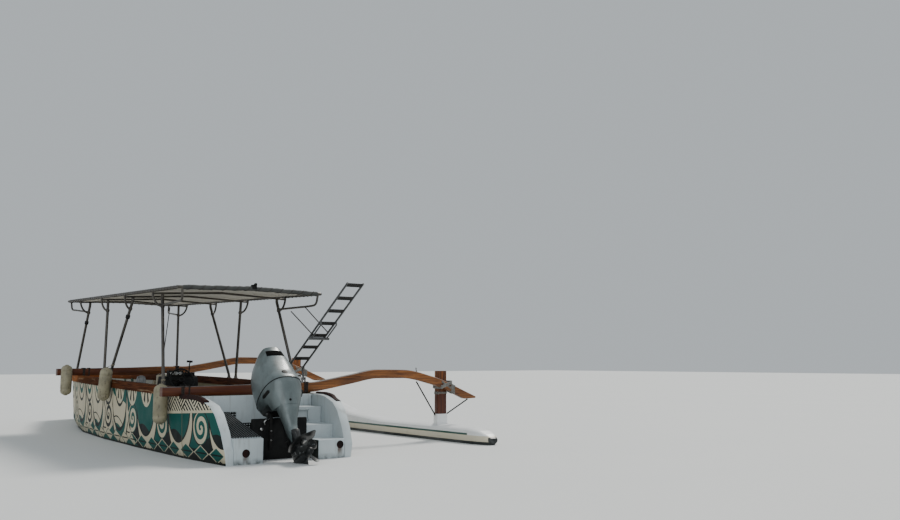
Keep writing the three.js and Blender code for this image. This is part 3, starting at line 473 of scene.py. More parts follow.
class Shape:
    """Several closed forms that become one mesh piece."""

    def __init__(self):
        self.points = []
        self.faces = []

    def add(self, points, faces):
        base = len(self.points)
        self.points += [tuple(float(c) for c in p) for p in points]
        self.faces += [[i + base for i in face] for face in faces]
        return self

    def loft(self, rings, closed=False):
        count, total = len(rings[0]), len(rings)
        faces = []
        for s in range(total if closed else total - 1):
            a, b = s * count, ((s + 1) % total) * count
            for i in range(count):
                j = (i + 1) % count
                faces.append([a + i, a + j, b + j, b + i])
        if not closed:
            faces.append(list(range(count))[::-1])
            faces.append([(total - 1) * count + i for i in range(count)])
        return self.add(np.vstack(rings), faces)

    def tube(self, points, radius, sides=12, closed=False):
        p = np.array(points, float)
        n = len(p)
        radii = np.broadcast_to(np.array(radius, float), (n,))
        if closed:
            way = [unit(p[(i + 1) % n] - p[i - 1]) for i in range(n)]
        else:
            way = [unit(p[min(i + 1, n - 1)] - p[max(i - 1, 0)]) for i in range(n)]
        side = np.cross(way[0], (0, 0, 1) if abs(way[0][2]) < 0.9 else (1, 0, 0))
        rings = []
        for i in range(n):
            side = unit(side - way[i] * np.dot(side, way[i]))
            up = np.cross(way[i], side)
            rings.append(circle(p[i], radii[i], sides, side, up))
        return self.loft(rings, closed)

    def box(self, low, high):
        (a, b, c), (d, e, f) = low, high
        points = [(a, b, c), (d, b, c), (d, e, c), (a, e, c), (a, b, f), (d, b, f), (d, e, f), (a, e, f)]
        return self.add(points, [(3, 2, 1, 0), (4, 5, 6, 7), (0, 1, 5, 4), (1, 2, 6, 5), (2, 3, 7, 6),
                                 (3, 0, 4, 7)])

    def lathe(self, profile, origin, axis, sides=32):
        """Turned form. Profile: radius and distance along the axis."""
        axis = unit(np.array(axis, float))
        side = unit(np.cross(axis, (0, 0, 1) if abs(axis[2]) < 0.9 else (1, 0, 0)))
        up = np.cross(axis, side)
        return self.loft([circle(np.array(origin) + axis * run, max(r, 1e-4), sides, side, up)
                          for r, run in profile])

    def moved(self, change):
        self.points = [tuple(p) for p in change(np.array(self.points))]
        return self

    def piece(self, name, material, body="root", slot=None, bevel=0.0, sharp=38, replaces=(), edit=None):
        bm = bmesh.new()
        for p in self.points:
            bm.verts.new(p)
        bm.verts.ensure_lookup_table()
        for face in self.faces:
            bm.faces.new([bm.verts[i] for i in face])
        bmesh.ops.recalc_face_normals(bm, faces=bm.faces)
        if edit:
            edit(bm)
        if bevel:
            edges = [e for e in bm.edges if len(e.link_faces) == 2 and e.calc_face_angle() > math.radians(30)]
            bmesh.ops.bevel(bm, geom=edges, offset=bevel, segments=2, profile=0.6, affect="EDGES",
                            clamp_overlap=True)
        return finished(bm, name, material, body, sharp, replaces)


def shade(mesh, sharp):
    """Smooth shading but at edges sharper than an angle in degrees."""
    mesh.polygons.foreach_set("use_smooth", [True] * len(mesh.polygons))
    mesh.set_sharp_from_angle(angle=math.radians(sharp))


def placed(name, data):
    item = bpy.data.objects.new(name, data)
    scene.collection.objects.link(item)
    return item


def finished(bm, name, material, body, sharp=38, replaces=()):
    mesh = bpy.data.meshes.new(name)
    bm.to_mesh(mesh)
    bm.free()
    mesh.materials.append(material)
    shade(mesh, sharp)
    piece = placed(name, mesh)
    if body:
        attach(piece, body)
    if replaces:
        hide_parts(*replaces)
    return piece


# Camera
PITCH, HEADING = math.radians(6.70), math.radians(37.168)
camera = placed("camera", bpy.data.cameras.new("camera"))
camera.data.lens = 34.72
camera.data.sensor_width = 36.0
camera.location = (-10.553, 5.381, 1.300)
aim = Vector((math.cos(HEADING) * math.cos(PITCH), -math.sin(HEADING) * math.cos(PITCH), math.sin(PITCH)))
camera.rotation_euler = aim.to_track_quat("-Z", "Y").to_euler()
scene.camera = camera

# Floor at the waterline, sky and lights
FLOOR_REACH = 90
floor = placed("floor", bpy.data.meshes.new("floor"))
corners = [(x * FLOOR_REACH, y * FLOOR_REACH, 0) for x, y in ((-1, -1), (1, -1), (1, 1), (-1, 1))]
floor.data.from_pydata(corners, [], [(0, 1, 2, 3)])
floor_paint = Paint("floor_paint")
floor_shade = floor_paint.mix(floor_paint.noise(0.4, 3.0), (0.62, 0.64, 0.64), (0.66, 0.67, 0.66))
floor.data.materials.append(floor_paint.finish(floor_shade, 0.75))

world = bpy.data.worlds.new("studio")
world.use_nodes = True
world.node_tree.nodes["Background"].inputs[0].default_value = (0.80, 0.86, 0.90, 1)
world.node_tree.nodes["Background"].inputs[1].default_value = 0.62
scene.world = world
for name, direction, strength, spread, color in (
    ("key", (-0.35, 0.75, -1.0), 2.9, 16, (1.0, 0.96, 0.90)),
    ("fill", (0.9, -0.6, -0.45), 0.9, 50, (0.94, 0.98, 1.0)),
):
    light = bpy.data.lights.new(name, "SUN")
    light.energy = strength
    light.angle = math.radians(spread)
    light.color = color
    placed(name, light).rotation_euler = Vector(direction).to_track_quat("-Z", "Y").to_euler()

# Places repeated from the solids
# Station, gunwale, rail, half-width of the floor, and half-width and height of the chine
HULL = np.array([
    [0, .955, .960, .935, .900, -.060], [1.215, 1.060, .945, 1.035, .985, -.070],
    [3.0, 1.090, .985, 1.065, 1.000, -.090], [5.0, 1.080, 1.020, 1.050, .970, -.090],
    [6.74, 1.000, 1.050, .960, .860, -.060], [8.0, .810, 1.055, .750, .640, -.020],
    [9.3, .480, 1.070, .410, .310, .040], [10.25, .200, 1.090, .130, .070, .100],
    [10.85, .014, 1.110, .008, .004, .190]])
FLOOR_Z = 0.2


def hull_at(x, *columns):
    return [np.interp(x, HULL[:, 0], HULL[:, k]) for k in columns]


def gunwale(x):
    return hull_at(x, 1)[0]


def rail_top(x):
    return hull_at(x, 2)[0]


def outside(x, z):
    """Half-width of the hull at a height."""
    edge, top, floor_half, chine_half, chine_z = hull_at(x, 1, 2, 3, 4, 5)
    if z < FLOOR_Z:
        return chine_half + (floor_half - chine_half) * (z - chine_z) / (FLOOR_Z - chine_z)
    return floor_half + (edge - floor_half) * (z - FLOOR_Z) / (top - FLOOR_Z)


AFT_X, AFT_Z, AFT_HALF = 1.320, 2.340, 1.110
FRONT_X, FRONT_Z, FRONT_HALF = 7.690, 2.490, 1.020


def canopy(x):
    """Height and half-width of the canopy's rim."""
    part = (x - AFT_X) / (FRONT_X - AFT_X)
    return AFT_Z + (FRONT_Z - AFT_Z) * part, AFT_HALF + (FRONT_HALF - AFT_HALF) * part


# Stations: poles, beams with their seats and sockets, and the float
POLES = [[2.483, .940, 2.000, 1.995], [3.907, .938, 4.614, 4.314], [5.304, .939, 4.940, 4.613],
         [6.773, .856, 7.500, 6.981]]
BEAM = np.array([[1.400, 0, .125], [0, 0, .145], [-.55, .020, .145], [-1.0, .020, .145], [-1.3, .060, .145],
                 [-1.7, .132, .142], [-2.2, .210, .142], [-2.7, .207, .138], [-3.3, .095, .130],
                 [-3.62, -.010, .130], [-3.97, -.160, .134], [-4.2, -.150, .030]])
BEAMS = {"aft": (1.400, .8293, .425), "front": (6.740, 1.0505, 1.060)}
BEAM_TIPS = {"aft": 1.280, "front": 1.400}
AMA_Y = -3.560
AMA = np.array([[.09, .072, .100, .020], [.19, .122, .160, -.050], [.33, .158, .212, -.110],
                [.60, .186, .243, -.150], [1.4, .205, .250, -.190], [3.1, .215, .243, -.200],
                [4.3, .212, .325, -.165], [5.3, .200, .545, .020], [6.0, .185, .755, .270],
                [6.74, .150, .930, .540], [7.3, .080, 1.080, .810], [7.65, .020, 1.190, 1.040]])


def modify(piece, name, kind, **settings):
    modifier = piece.modifiers.new(name, kind)
    for key, setting in settings.items():
        setattr(modifier, key, setting)


def dress(name, material, bevel):
    """A solid that stays, with its material, welded and with softened edges."""
    node = nodes[name]
    mesh = node.data
    mesh.materials.clear()
    mesh.materials.append(material)
    if "custom_normal" in mesh.attributes:
        mesh.attributes.remove(mesh.attributes["custom_normal"])
    mesh.polygons.foreach_set("use_smooth", [False] * len(mesh.polygons))
    modify(node, "weld", "WELD", merge_threshold=0.00002)
    if bevel:
        modify(node, "bevel", "BEVEL", width=bevel, segments=2, limit_method="ANGLE",
               angle_limit=math.radians(32), use_clamp_overlap=True)
    modify(node, "smooth", "NODES", node_group=smoothing)


def smoothing_group():
    """Smooth shading everywhere but at edges sharper than 35 degrees."""
    group = bpy.data.node_groups.new("smoothing", "GeometryNodeTree")
    for way in ("INPUT", "OUTPUT"):
        group.interface.new_socket("Geometry", in_out=way, socket_type="NodeSocketGeometry")

    def step(kind, values, output=0, **settings):
        return Sock(group, new_node(group, kind, values, **settings).outputs[output])

    angle = step("GeometryNodeInputMeshEdgeAngle", {}, "Unsigned Angle")
    faces = step("GeometryNodeSetShadeSmooth", {"Geometry": step("NodeGroupInput", {})})
    values = {"Geometry": faces, "Selection": angle > math.radians(35), "Shade Smooth": False}
    edges = step("GeometryNodeSetShadeSmooth", values, domain="EDGE")
    new_node(group, "NodeGroupOutput", {0: edges})
    return group


smoothing = smoothing_group()
for material, bevel, names in (
    (hull, 0.0, ("hull_bottom", "hull_side_port", "hull_side_starboard", "bow")),
    (hull, 0.012, ("stern_wing_port", "stern_wing_starboard")),
    (white_gel, 0.014, ("stern_deck_port", "stern_steps_starboard", "aft_bulkhead")),
    # The engine board is black: painted shade of the motor well
    (black, 0.010, ("engine_board",)),
    (black, 0.020, ("console",)),
    (liner, 0.004, ("foredeck",)),
    (rail_wood, 0.006, ("rail_port",)),
    (shaded_rail, 0.006, ("rail_starboard",)),
    (post_wood, 0.006, ("ama_post_aft", "ama_post_front")),
    (dark_metal, 0.002, ("ama_brace_aft_inboard", "ama_brace_aft_outboard", "ama_brace_front_inboard")),
    (dark_metal, 0.004, ("motor_clamp", "motor_swivel")),
    (bright, 0.001, ("ladder_hinge_1", "ladder_hinge_2")),
):
    for name in names:
        dress(name, material, bevel)

# Float: section as shares of its half-width and of its depth below the top
AMA_SIDE = ((.72, .01), (.92, .07), (1, .16), (1, .32), (.96, .5), (.84, .68), (.66, .83), (.40, .94))
steps = np.linspace(0, len(AMA) - 1, 6 * (len(AMA) - 1) + 1)
rings = []
for x, half, top, bottom in zip(*(np.interp(steps, range(len(AMA)), AMA[:, k]) for k in range(4))):
    ring = [(x, .45 * half, top + .002), *((x, half * a, top - (top - bottom) * b) for a, b in AMA_SIDE),
            (x, .16 * half, bottom)]
    rings.append(np.array(ring + [(x, -y, z) for _, y, z in ring[::-1]]) + (0, AMA_Y, 0))
ama = Shape().loft(rings)
POST_SHIFT = 0.1103
for x, _, socket_top in BEAMS.values():
    post_x = x + POST_SHIFT
    top = float(np.interp(post_x, AMA[:, 0], AMA[:, 2]))
    for grow, low, high in ((0, top - 0.10, socket_top), (0.012, top - 0.02, top + 0.015)):
        ama.box((post_x - .054 - grow, AMA_Y - .105 - grow, low),
                (post_x + .054 + grow, AMA_Y + .105 + grow, high))
ama.piece("ama_float", float_paint, slot="hull_paint", bevel=0.006, replaces=["ama"])

SIDES = ((1, "port"), (-1, "starboard"))

# Canopy: a rim crowned at both ends, and a crowned bow at each station of the poles
CORNERS = ((AFT_X, AFT_Z, AFT_HALF), (FRONT_X, FRONT_Z, FRONT_HALF))
RIM_TUBE = 0.023
HOOK_TUBE = 0.0170


def end_rise(share):
    return 0.030 * (1 - abs(share))


def bow(x, share):
    """Point of a bow at a share of the half-width."""
    z, half = canopy(x)
    return np.array((x, (half - 0.015) * share, z - 0.045 + 0.053 * (1 - abs(share))))


tubes = Shape()
for side in (1, -1):
    tubes.tube([(x, side * half, z) for x, z, half in CORNERS], RIM_TUBE, 16)
cross = np.linspace(-1, 1, 13)
for x, z, half in CORNERS:
    tubes.tube([(x, half * t, z + end_rise(t)) for t in cross], RIM_TUBE, 16)
for x, *_ in POLES:
    tubes.tube([bow(x, t) for t in cross], 0.016, 12)


def pole(row, side):
    """Bends of one pole, and its middle at a drop below the canopy."""
    x, y, port, starboard = row
    foot_x = port if side > 0 else starboard
    z, half = canopy(x)
    high = bow(x, y / (half - 0.015))[2] - 0.0163
    low = rail_top(foot_x)
    foot = np.array((foot_x, side * (gunwale(foot_x) - 0.026), low + 0.0009))
    bend = np.array((x, side * y, high - 0.040))
    start = foot + (0, 0, 0.049)
    run = unit(bend - start)

    def at(drop):
        return start + run * ((z - drop - start[2]) / run[2])

    return [foot, start, bend, bend + (0, 0, 0.040)], at


for side in (1, -1):
    for row in POLES:
        x = row[0]
        z, half = canopy(x)
        _, at = pole(row, side)
        face = at(0.235)
        rim = np.array((x, side * half, z))
        swing = [rim + (face - rim) * (1 - math.cos(a), 1 - math.cos(a), math.sin(a))
                 for a in np.linspace(0, math.pi / 2, 25)]
        tubes.tube(swing, HOOK_TUBE, 14)
        tubes.lathe([(.030, -.020), (.032, -.014), (.032, .014), (.030, .020)], face, at(0.22) - at(0.24), 16)
    for row, (cx, cz, half) in ((POLES[0], CORNERS[0]), (POLES[3], CORNERS[1])):
        way = math.copysign(1, cx - row[0])
        _, at = pole(row, side)
        face = at(0.215)
        path = [face, face + (way * .084, 0, 0), (cx - way * .190, side * (half - .085), cz - .180),
                (cx - way * .020, side * (half - .060), cz - .168), (cx, side * (half - .045), cz)]
        tubes.tube(rounded(path, 0.15, 12), HOOK_TUBE, 14)
tubes.piece("canopy_tubes", steel, slot="steel", replaces=["canopy_frame"], bevel=0.0015)

for side, word in SIDES:
    for i, row in enumerate(POLES):
        path, at = pole(row, side)
        shape = Shape().tube(rounded(path, 0.05), 0.0235, 16)
        foot = path[0]
        shape.lathe([(.046, .0), (.046, .006), (.030, .010), (.027, .045), (.024, .048)], foot, (0, 0, 1), 24)
        for turn in range(4):
            a = turn * math.pi / 2 + 0.78
            spot = foot + (0.036 * math.cos(a), 0.036 * math.sin(a), 0.004)
            shape.lathe([(.005, 0), (.005, .005), (.003, .007)], spot, (0, 0, 1), 6)
        shape.piece(f"pole_{word}_{i + 1}", steel, slot="steel", replaces=[f"canopy_pole_{word}_{i + 1}"])

# Cloth: one sheet over the bows, cut in shallow scallops between the eyelets
EYELET_PITCH = 0.128
INSET = 0.068
BAYS = np.array([AFT_X, *[row[0] for row in POLES], FRONT_X])
rows_x = np.linspace(AFT_X + INSET, FRONT_X - INSET, 197)
rows_t = np.linspace(-1, 1, 41)


def scallop(run):
    """Depth of the scallops at a distance along an edge."""
    return 0.010 * (0.5 - 0.5 * math.cos(2 * math.pi * run / EYELET_PITCH))


def cloth_point(x, t):
    z, half = canopy(x)
    half -= INSET
    k = min(int(np.searchsorted(BAYS, x)), len(BAYS) - 1)
    part = (x - BAYS[k - 1]) / (BAYS[k] - BAYS[k - 1])
    sag = 0.012 * math.sin(math.pi * min(max(part, 0), 1)) * (1 - t * t)
    end = min(x - rows_x[0], rows_x[-1] - x)
    lean = math.copysign(scallop(t * half) * max(0, 1 - end / 0.05), (rows_x[0] + rows_x[-1]) / 2 - x)
    fade = max(0, (abs(t) - 0.9) / 0.1)
    crown = .006 + .0216 * (1 - t * t) + 0.002 * math.sin(x * 11 + t * 5)
    return (x + lean, t * (half - scallop(x - AFT_X - INSET) * fade), z + crown - sag)


grid = [cloth_point(x, t) for x in rows_x for t in rows_t]
wide = len(rows_t)
quads = [(i * wide + j, i * wide + j + 1, (i + 1) * wide + j + 1, (i + 1) * wide + j)
         for i in range(len(rows_x) - 1) for j in range(wide - 1)]


def thicken(bm):
    bmesh.ops.recalc_face_normals(bm, faces=bm.faces)
    bmesh.ops.solidify(bm, geom=bm.faces, thickness=0.0024)


cloth = Shape().add(grid, quads).piece("canopy_sheet", cloth_paint, slot="canvas", sharp=60,
                                       replaces=["canopy_cloth"], edit=thicken)

# Lacing round the rim, through the eyelets
LACE_REACH = 0.0262
LACE_START = 0.05
lacing = Shape()


def lace(at_run, length):
    turns = round(length / EYELET_PITCH)
    steps = turns * 12
    path = []
    for k in range(steps + 1):
        run = k / steps
        angle = 2 * math.pi * turns * run
        cos = math.cos(angle)
        bend = math.copysign(math.acos(max(cos, -0.2)), math.sin(angle)) * 1.15
        share = max(0, (-0.2 - cos) / 0.8)
        across = LACE_REACH * math.cos(bend) * (1 - share) - 0.085 * share
        up = LACE_REACH * math.sin(bend) * (1 - share) + 0.010 * share
        path.append(at_run(run, across, up))
    lacing.tube(path, 0.0035, 6)


laced = FRONT_X - AFT_X - 2 * LACE_START
for side in (1, -1):
    def along_side(run, across, up, side=side):
        x = AFT_X + LACE_START + laced * run
        z, half = canopy(x)
        return (x, side * (half + across), z + up)
    lace(along_side, laced)
for (x, z, half), way in zip(CORNERS, (-1, 1)):
    def along_end(run, across, up, x=x, z=z, half=half, way=way):
        t = (2 * run - 1) * 0.955
        return (x + way * across, half * t, z + end_rise(t) + up)
    lace(along_end, 1.91 * half)
lacing.piece("canopy_lacing", cord_dark, slot="canvas")

eyelets = Shape()
for side in (1, -1):
    for k in range(49):
        x = AFT_X + INSET + EYELET_PITCH * k
        z, half = canopy(x)
        middle = (x, side * (half - INSET - .020), z + .0115)
        eyelets.tube(circle(middle, .009, 10, up=(0, 1, 0)), 0.0022, 6, True)
eyelets.piece("canopy_eyelets", bright, slot="steel")

# Rolled cover lashed round the aft edge
ROLL = 0.0335


def roll_middle(y, ripple=0.0):
    return np.array((AFT_X - .004, y, AFT_Z + end_rise(y / AFT_HALF) - .002 + ripple))


roll_line, roll_size = [], []
for t in np.linspace(-0.955, 0.955, 95):
    lump = 0.004 * math.sin(t * 31) + 0.003 * math.sin(t * 73 + 1)
    tie = 0.007 * math.exp(-((t * 7.0 - round(t * 7.0)) / 0.10) ** 2)
    roll_line.append(roll_middle(t * AFT_HALF, .002 * math.sin(t * 17)))
    roll_size.append(ROLL + lump * 0.4 - tie * 0.3)
roll_size[0] = roll_size[-1] = 0.026
roll = Shape().tube(roll_line, roll_size, 18).piece("canopy_roll", grey_roll, slot="canvas", sharp=60)
spiral = []
for k in range(12 * 20 + 1):
    a = k / 20 * 2 * math.pi
    spiral.append(roll_middle((k / 120 - 1) * 0.93 * AFT_HALF) + (ROLL * math.cos(a), 0, ROLL * math.sin(a)))
Shape().tube(spiral, 0.0045, 6).piece("canopy_roll_ties", cord_dark, slot="canvas")

# Small clamps on the aft edge and on two poles
clamps = Shape().box((AFT_X - .046, -.034, AFT_Z + .020), (AFT_X + .026, .034, AFT_Z + .085))
clamps.lathe([(.012, 0), (.020, .012), (.020, .050), (.012, .058)],
             (AFT_X - .034, .0, AFT_Z + .080), (-1, 0, 0.2), 16)
for index, drop in ((1, 0.36), (3, 0.42)):
    _, at = pole(POLES[index], 1)
    spot = at(drop)
    clamps.lathe([(.031, -.03), (.036, -.024), (.036, .024), (.031, .03)], spot, at(0) - at(0.1), 20)
    clamps.box(spot + (-.055, -.018, -.018), spot + (-.020, .018, .018))
clamps.piece("canopy_clamps", black, slot="black_plastic", bevel=0.004)


# Cross beams, bent smoothly through the stations of the solids
def eased(table):
    """Curve through rows sorted by their first column, that never swings past a row."""
    x, rows = table[:, 0], table[:, 1:]
    steps = np.diff(x)[:, None]
    slopes = np.diff(rows, axis=0) / steps
    ends = np.zeros_like(rows)
    product, total = slopes[:-1] * slopes[1:], slopes[:-1] + slopes[1:]
    mean = 2 * product / np.where(np.abs(total) < 1e-9, 1, total)
    ends[1:-1] = np.where(product > 0, mean, 0)
    ends[0], ends[-1] = slopes[0], slopes[-1]

    def at(value):
        i = int(np.clip(np.searchsorted(x, value) - 1, 0, len(x) - 2))
        h = x[i + 1] - x[i]
        t = (value - x[i]) / h
        return ((1 + 2 * t) * (1 - t) ** 2 * rows[i] + t * (1 - t) ** 2 * h * ends[i]
                + t * t * (3 - 2 * t) * rows[i + 1] + t * t * (t - 1) * h * ends[i + 1])
    return at


beam_curve = eased(np.column_stack([BEAM[:, 0], BEAM[:, 1], BEAM[:, 1] + BEAM[:, 2]])[::-1])


def beam_under(y):
    """Underside over the seat, and depth; straight runs to the tip."""
    if y < BEAM[-3, 0]:
        return np.array([np.interp(y, BEAM[::-1, 0], BEAM[::-1, k]) for k in (1, 2)])
    under, top = beam_curve(y)
    return np.array([under, top - under])


BEAM_HALF = 0.055
BEAM_EDGE = 0.012
for word, (x, seat, _) in BEAMS.items():
    stations = np.concatenate([np.linspace(-4.2, -.55, 74), np.linspace(-.50, BEAM_TIPS[word], 8)])
    a, b = x - BEAM_HALF, x + BEAM_HALF
    rings = []
    for y in stations:
        under, depth = beam_under(y)
        low, high = seat + under, seat + under + depth
        rings.append(np.array([(a + BEAM_EDGE, y, low), (a, y, low + BEAM_EDGE), (a, y, high - BEAM_EDGE),
                               (a + BEAM_EDGE, y, high), (b - BEAM_EDGE, y, high), (b, y, high - BEAM_EDGE),
                               (b, y, low + BEAM_EDGE), (b - BEAM_EDGE, y, low)]))
    Shape().loft(rings).piece(f"beam_{word}", beam_wood, slot="wood", replaces=[f"iako_{word}"], sharp=50)

# Lashings
ROPE_PITCH = 0.0112


def wrap(shape, corners, count, way, radius=0.0055):
    """Turns of rope round a rectangle of corners, side by side along a direction."""
    ring = rounded([*corners, corners[0]], 0.012, 3)[1:]
    middle = np.mean(corners, axis=0)
    path = []
    for k in range(count):
        for i, q in enumerate(ring):
            step = np.array(way) * ROPE_PITCH * (k + i / len(ring))
            path.append(q + unit(q - middle) * radius + step)
    shape.tube(path, radius, 8)


def around(x, y, seat):
    """Corners of a beam at a station."""
    under, depth = beam_under(y)
    low, high = seat + under, seat + under + depth
    a, b = x - BEAM_HALF, x + BEAM_HALF
    return np.array([(a, y, low), (a, y, high), (b, y, high), (b, y, low)])


def post_corners(x0, x1, half, outer_z, inner_z):
    """Corners round a post, at a height on its outboard and on its inboard side."""
    return np.array([(x0, AMA_Y - half, outer_z), (x0, AMA_Y + half, inner_z),
                     (x1, AMA_Y + half, inner_z), (x1, AMA_Y - half, outer_z)])


for word, (x, seat, _) in BEAMS.items():
    ropes = Shape()
    hull_edge = gunwale(x) - 0.02
    for y, count in ((hull_edge - 0.075, 5), (hull_edge - 0.155, 3), (-hull_edge + 0.10, 7)):
        wrap(ropes, around(x, y, seat), count, (0, 1, 0))
    ropes.piece(f"lashing_{word}", cord_dark, slot="wood")
    # Turns beside the post, across it both ways, and round it under the beam
    bound = Shape()
    y = AMA_Y - 0.188
    rise = (beam_under(y + .1)[0] - beam_under(y - .1)[0]) / .2
    wrap(bound, around(x, y, seat), 8, (0, 1, rise))
    under, depth = beam_under(AMA_Y)
    middle = seat + under + depth / 2 - .012
    for lean, radius in ((.052, 0.0055), (-.030, 0.0165)):
        corners = post_corners(x - .056, x + .166, .089, middle - lean, middle + lean)
        wrap(bound, corners, 4, (0, 0, 1), radius)
    foot = seat + under - .085
    wrap(bound, post_corners(x + .053, x + .166, .088, foot, foot), 4, (0, 0, 1), 0.005)
    bound.piece(f"post_lashing_{word}", cord_grey, slot="wood")

# Eye bolt on the aft beam, over the brace
BOLT_Y = -2.98
x, seat, _ = BEAMS["aft"]
top = seat + sum(beam_under(BOLT_Y))
bolt = Shape().lathe([(.018, -.001), (.018, .004), (.010, .005), (.010, .016), (.006, .017), (.006, .045)],
                     (x, BOLT_Y, top), (0, 0.19, 1), 12)
bolt.tube(circle((x, BOLT_Y + .009, top + .056), .012, 16), 0.004, 8, True)
bolt.piece("eye_bolt", steel, slot="steel")

# Rubber strips on the top edges of both wings, bent over the round of the stern
WING_Z = 0.829
WING = [(.900, WING_Z), (.700, .808), (.560, .772), (.450, .742)]
strips = Shape()
for side, first, rows in ((1, 1.300, WING[:-1]), (-1, 1.190, WING)):
    top = spline([(first, 0, WING_Z), *[(x, 0, z) for x, z in rows]], 6)
    rings = []
    for i, (x, _, z) in enumerate(top):
        way = unit(top[min(i + 1, len(top) - 1)] - top[max(i - 1, 0)])
        up = np.array((way[2], 0, -way[0]))
        outer, inner = outside(x, z) + 0.006, outside(x, z) - 0.070
        profile = [(outer, -.030), (outer, .014), (outer - .016, .030), (inner + .016, .030), (inner, .016),
                   (inner, -.002), (outer - .009, -.002), (outer - .009, -.030)]
        # The starboard strip is thin where the lowered ladder rests over it
        flat = np.interp(x, (.585, .640), (.35, 1)) if side < 0 else 1
        rings.append(np.array([(x, side * y, z) + up * h * (flat if h > 0 else 1) for y, h in profile]))
    strips.loft(rings)
strips.piece("wing_strips", rubber, slot="black_plastic", bevel=0.002)

# Perforated mat on the port ramp, and a dark splash panel round the pale corner of the bulkhead: a mat, with
# its dark extent partly painted shade of the bulkhead's lower part
DECK = np.array([[0, .320], [.150, .338], [1.152, .600]])
BULKHEAD_X = 1.1515
rings = []
for x in (0.075, 0.150, 0.5, 0.8, 1.140):
    z = float(np.interp(x, DECK[:, 0], DECK[:, 1]))
    rings.append(rectangle(x, 0.408, outside(x, 0.2) - 0.150, z + .0006, z + .0095))
Shape().loft(rings).piece("walk_mat", mat_paint, slot="black_plastic", bevel=0.003)
# Dark mat panel on the bulkhead: partly a real mat, partly painted shade
panel = [(.396, .020), (.396, .604), (.293, .604)]
panel += [(.193 + .100 * math.cos(a), .540 - .100 * math.sin(a)) for a in np.linspace(0, math.pi / 2, 9)]
panel += [(-.100, .440), (-.130, .410), (-.130, .020)]
splash = Shape().loft([np.array([(x, y, z) for y, z in panel]) for x in (BULKHEAD_X, 1.1440)])
splash.piece("splash_panel", mat_paint, slot="black_plastic", bevel=0.002)
ridge = Shape().box((1.112, -.300, .640), (BULKHEAD_X, -.235, .822))
ridge.box((1.120, -.640, .668), (BULKHEAD_X, -.330, .690))
ridge.piece("bulkhead_ridge", white_gel, slot="gelcoat", bevel=0.016)
frame_box = Shape()
for (y0, z0), (y1, z1) in (((-.660, .470), (-.640, .630)), ((-.430, .470), (-.410, .630)),
                           ((-.660, .612), (-.410, .632)), ((-.660, .468), (-.410, .488))):
    frame_box.box((.770, y0, z0), (.7995, y1, z1))
frame_box.piece("step_frame", white_gel, slot="gelcoat", bevel=0.004)
details = Shape()
for y, z in SCUPPERS:
    details.lathe([(.052, .0005), (.052, -.005), (.046, -.011), (.038, -.012), (.036, -.006), (.001, -.004),
                   (.001, .0004)], (0, y, z), (1, 0, 0), 32)
    details.tube([(-.010, y - .030, z - .002), (-.012, y + .030, z - .002)], .004, 8)
details.piece("scuppers", rubber, slot="dark_metal")


# Motor, in its own tilted frame
def tilted(points):
    p = np.array(points, float).reshape(-1, 3)
    x = MOTOR_X + p[:, 0] * math.cos(TILT) + p[:, 2] * math.sin(TILT)
    z = MOTOR_Z - p[:, 0] * math.sin(TILT) + p[:, 2] * math.cos(TILT)
    return np.stack([x, p[:, 1], z], 1)


# Rows of the motor's forms: height, rear, front and half-width
COWL = [[-.050, -.400, .148, .188], [.130, -.437, .238, .268], [.312, -.472, .268, .288],
        [.480, -.377, .253, .290], [.640, -.319, .198, .262], [.770, -.287, .104, .206],
        [.865, -.254, -.004, .158], [.905, -.243, -.068, .122]]
APRON = [[-.405, -.330, -.155, .070], [-.318, -.323, -.155, .080], [-.207, -.347, -.155, .105],
         [-.114, -.386, -.155, .135], [-.044, -.394, -.157, .152]]
LEG = [[-.800, -.415, -.135, .042], [-.600, -.390, -.112, .054], [-.462, -.378, -.112, .064],
       [-.458, -.378, -.155, .066], [-.406, -.372, -.155, .072]]
SQUARENESS = 2.5
SEAM_Z, SEAM_SLOPE = 0.190, 0.25
SHAFT_Z = -.815


def section(z, rear, front, half, sides):
    """Rounded rectangle at a height."""
    turn = (np.arange(sides) + 0.5) * 2 * math.pi / sides
    along, across = (np.sign(v) * np.abs(v) ** (2 / SQUARENESS) for v in (np.cos(turn), np.sin(turn)))
    return np.stack([(rear + front) / 2 + (front - rear) / 2 * along, half * across, np.full(sides, z)], 1)


def body_of_rows(rows, steps, sides=48):
    table = spline(rows, steps) if steps > 1 else np.array(rows)
    return Shape().loft([section(*row, sides=sides) for row in table])


def keep_side(normal_sign, offset):
    """Cuts a form at the seam and closes it."""
    def edit(bm):
        normal = Vector((SEAM_SLOPE, 0, 1)).normalized()
        origin = Vector((0, 0, SEAM_Z)) + normal * offset
        cut = bmesh.ops.bisect_plane(bm, geom=[*bm.verts, *bm.edges, *bm.faces], plane_co=origin,
                                     plane_no=normal * normal_sign, clear_inner=True)
        edges = [e for e in cut["geom_cut"] if isinstance(e, bmesh.types.BMEdge)]
        bmesh.ops.contextual_create(bm, geom=edges)
        bmesh.ops.recalc_face_normals(bm, faces=bm.faces)
    return edit


def tilt_mesh(piece):
    co = np.empty(len(piece.data.vertices) * 3)
    piece.data.vertices.foreach_get("co", co)
    piece.data.vertices.foreach_set("co", tilted(co).ravel())
    piece.data.update()
    return piece


def motor_piece(shape, name, material, slot="motor_paint", body="motor", **more):
    return tilt_mesh(shape.piece(name, material, body, slot, **more))


def boolean(piece, cutter, operation="DIFFERENCE"):
    """Applies a cut or a union to a piece, and drops the cutter."""
    modify(piece, "cut", "BOOLEAN", operation=operation, object=cutter, solver="EXACT")
    bpy.context.view_layer.update()
    result = bpy.data.meshes.new_from_object(piece.evaluated_get(bpy.context.evaluated_depsgraph_get()))
    piece.modifiers.clear()
    piece.data = result
    shade(result, 38)
    bpy.data.objects.remove(cutter)


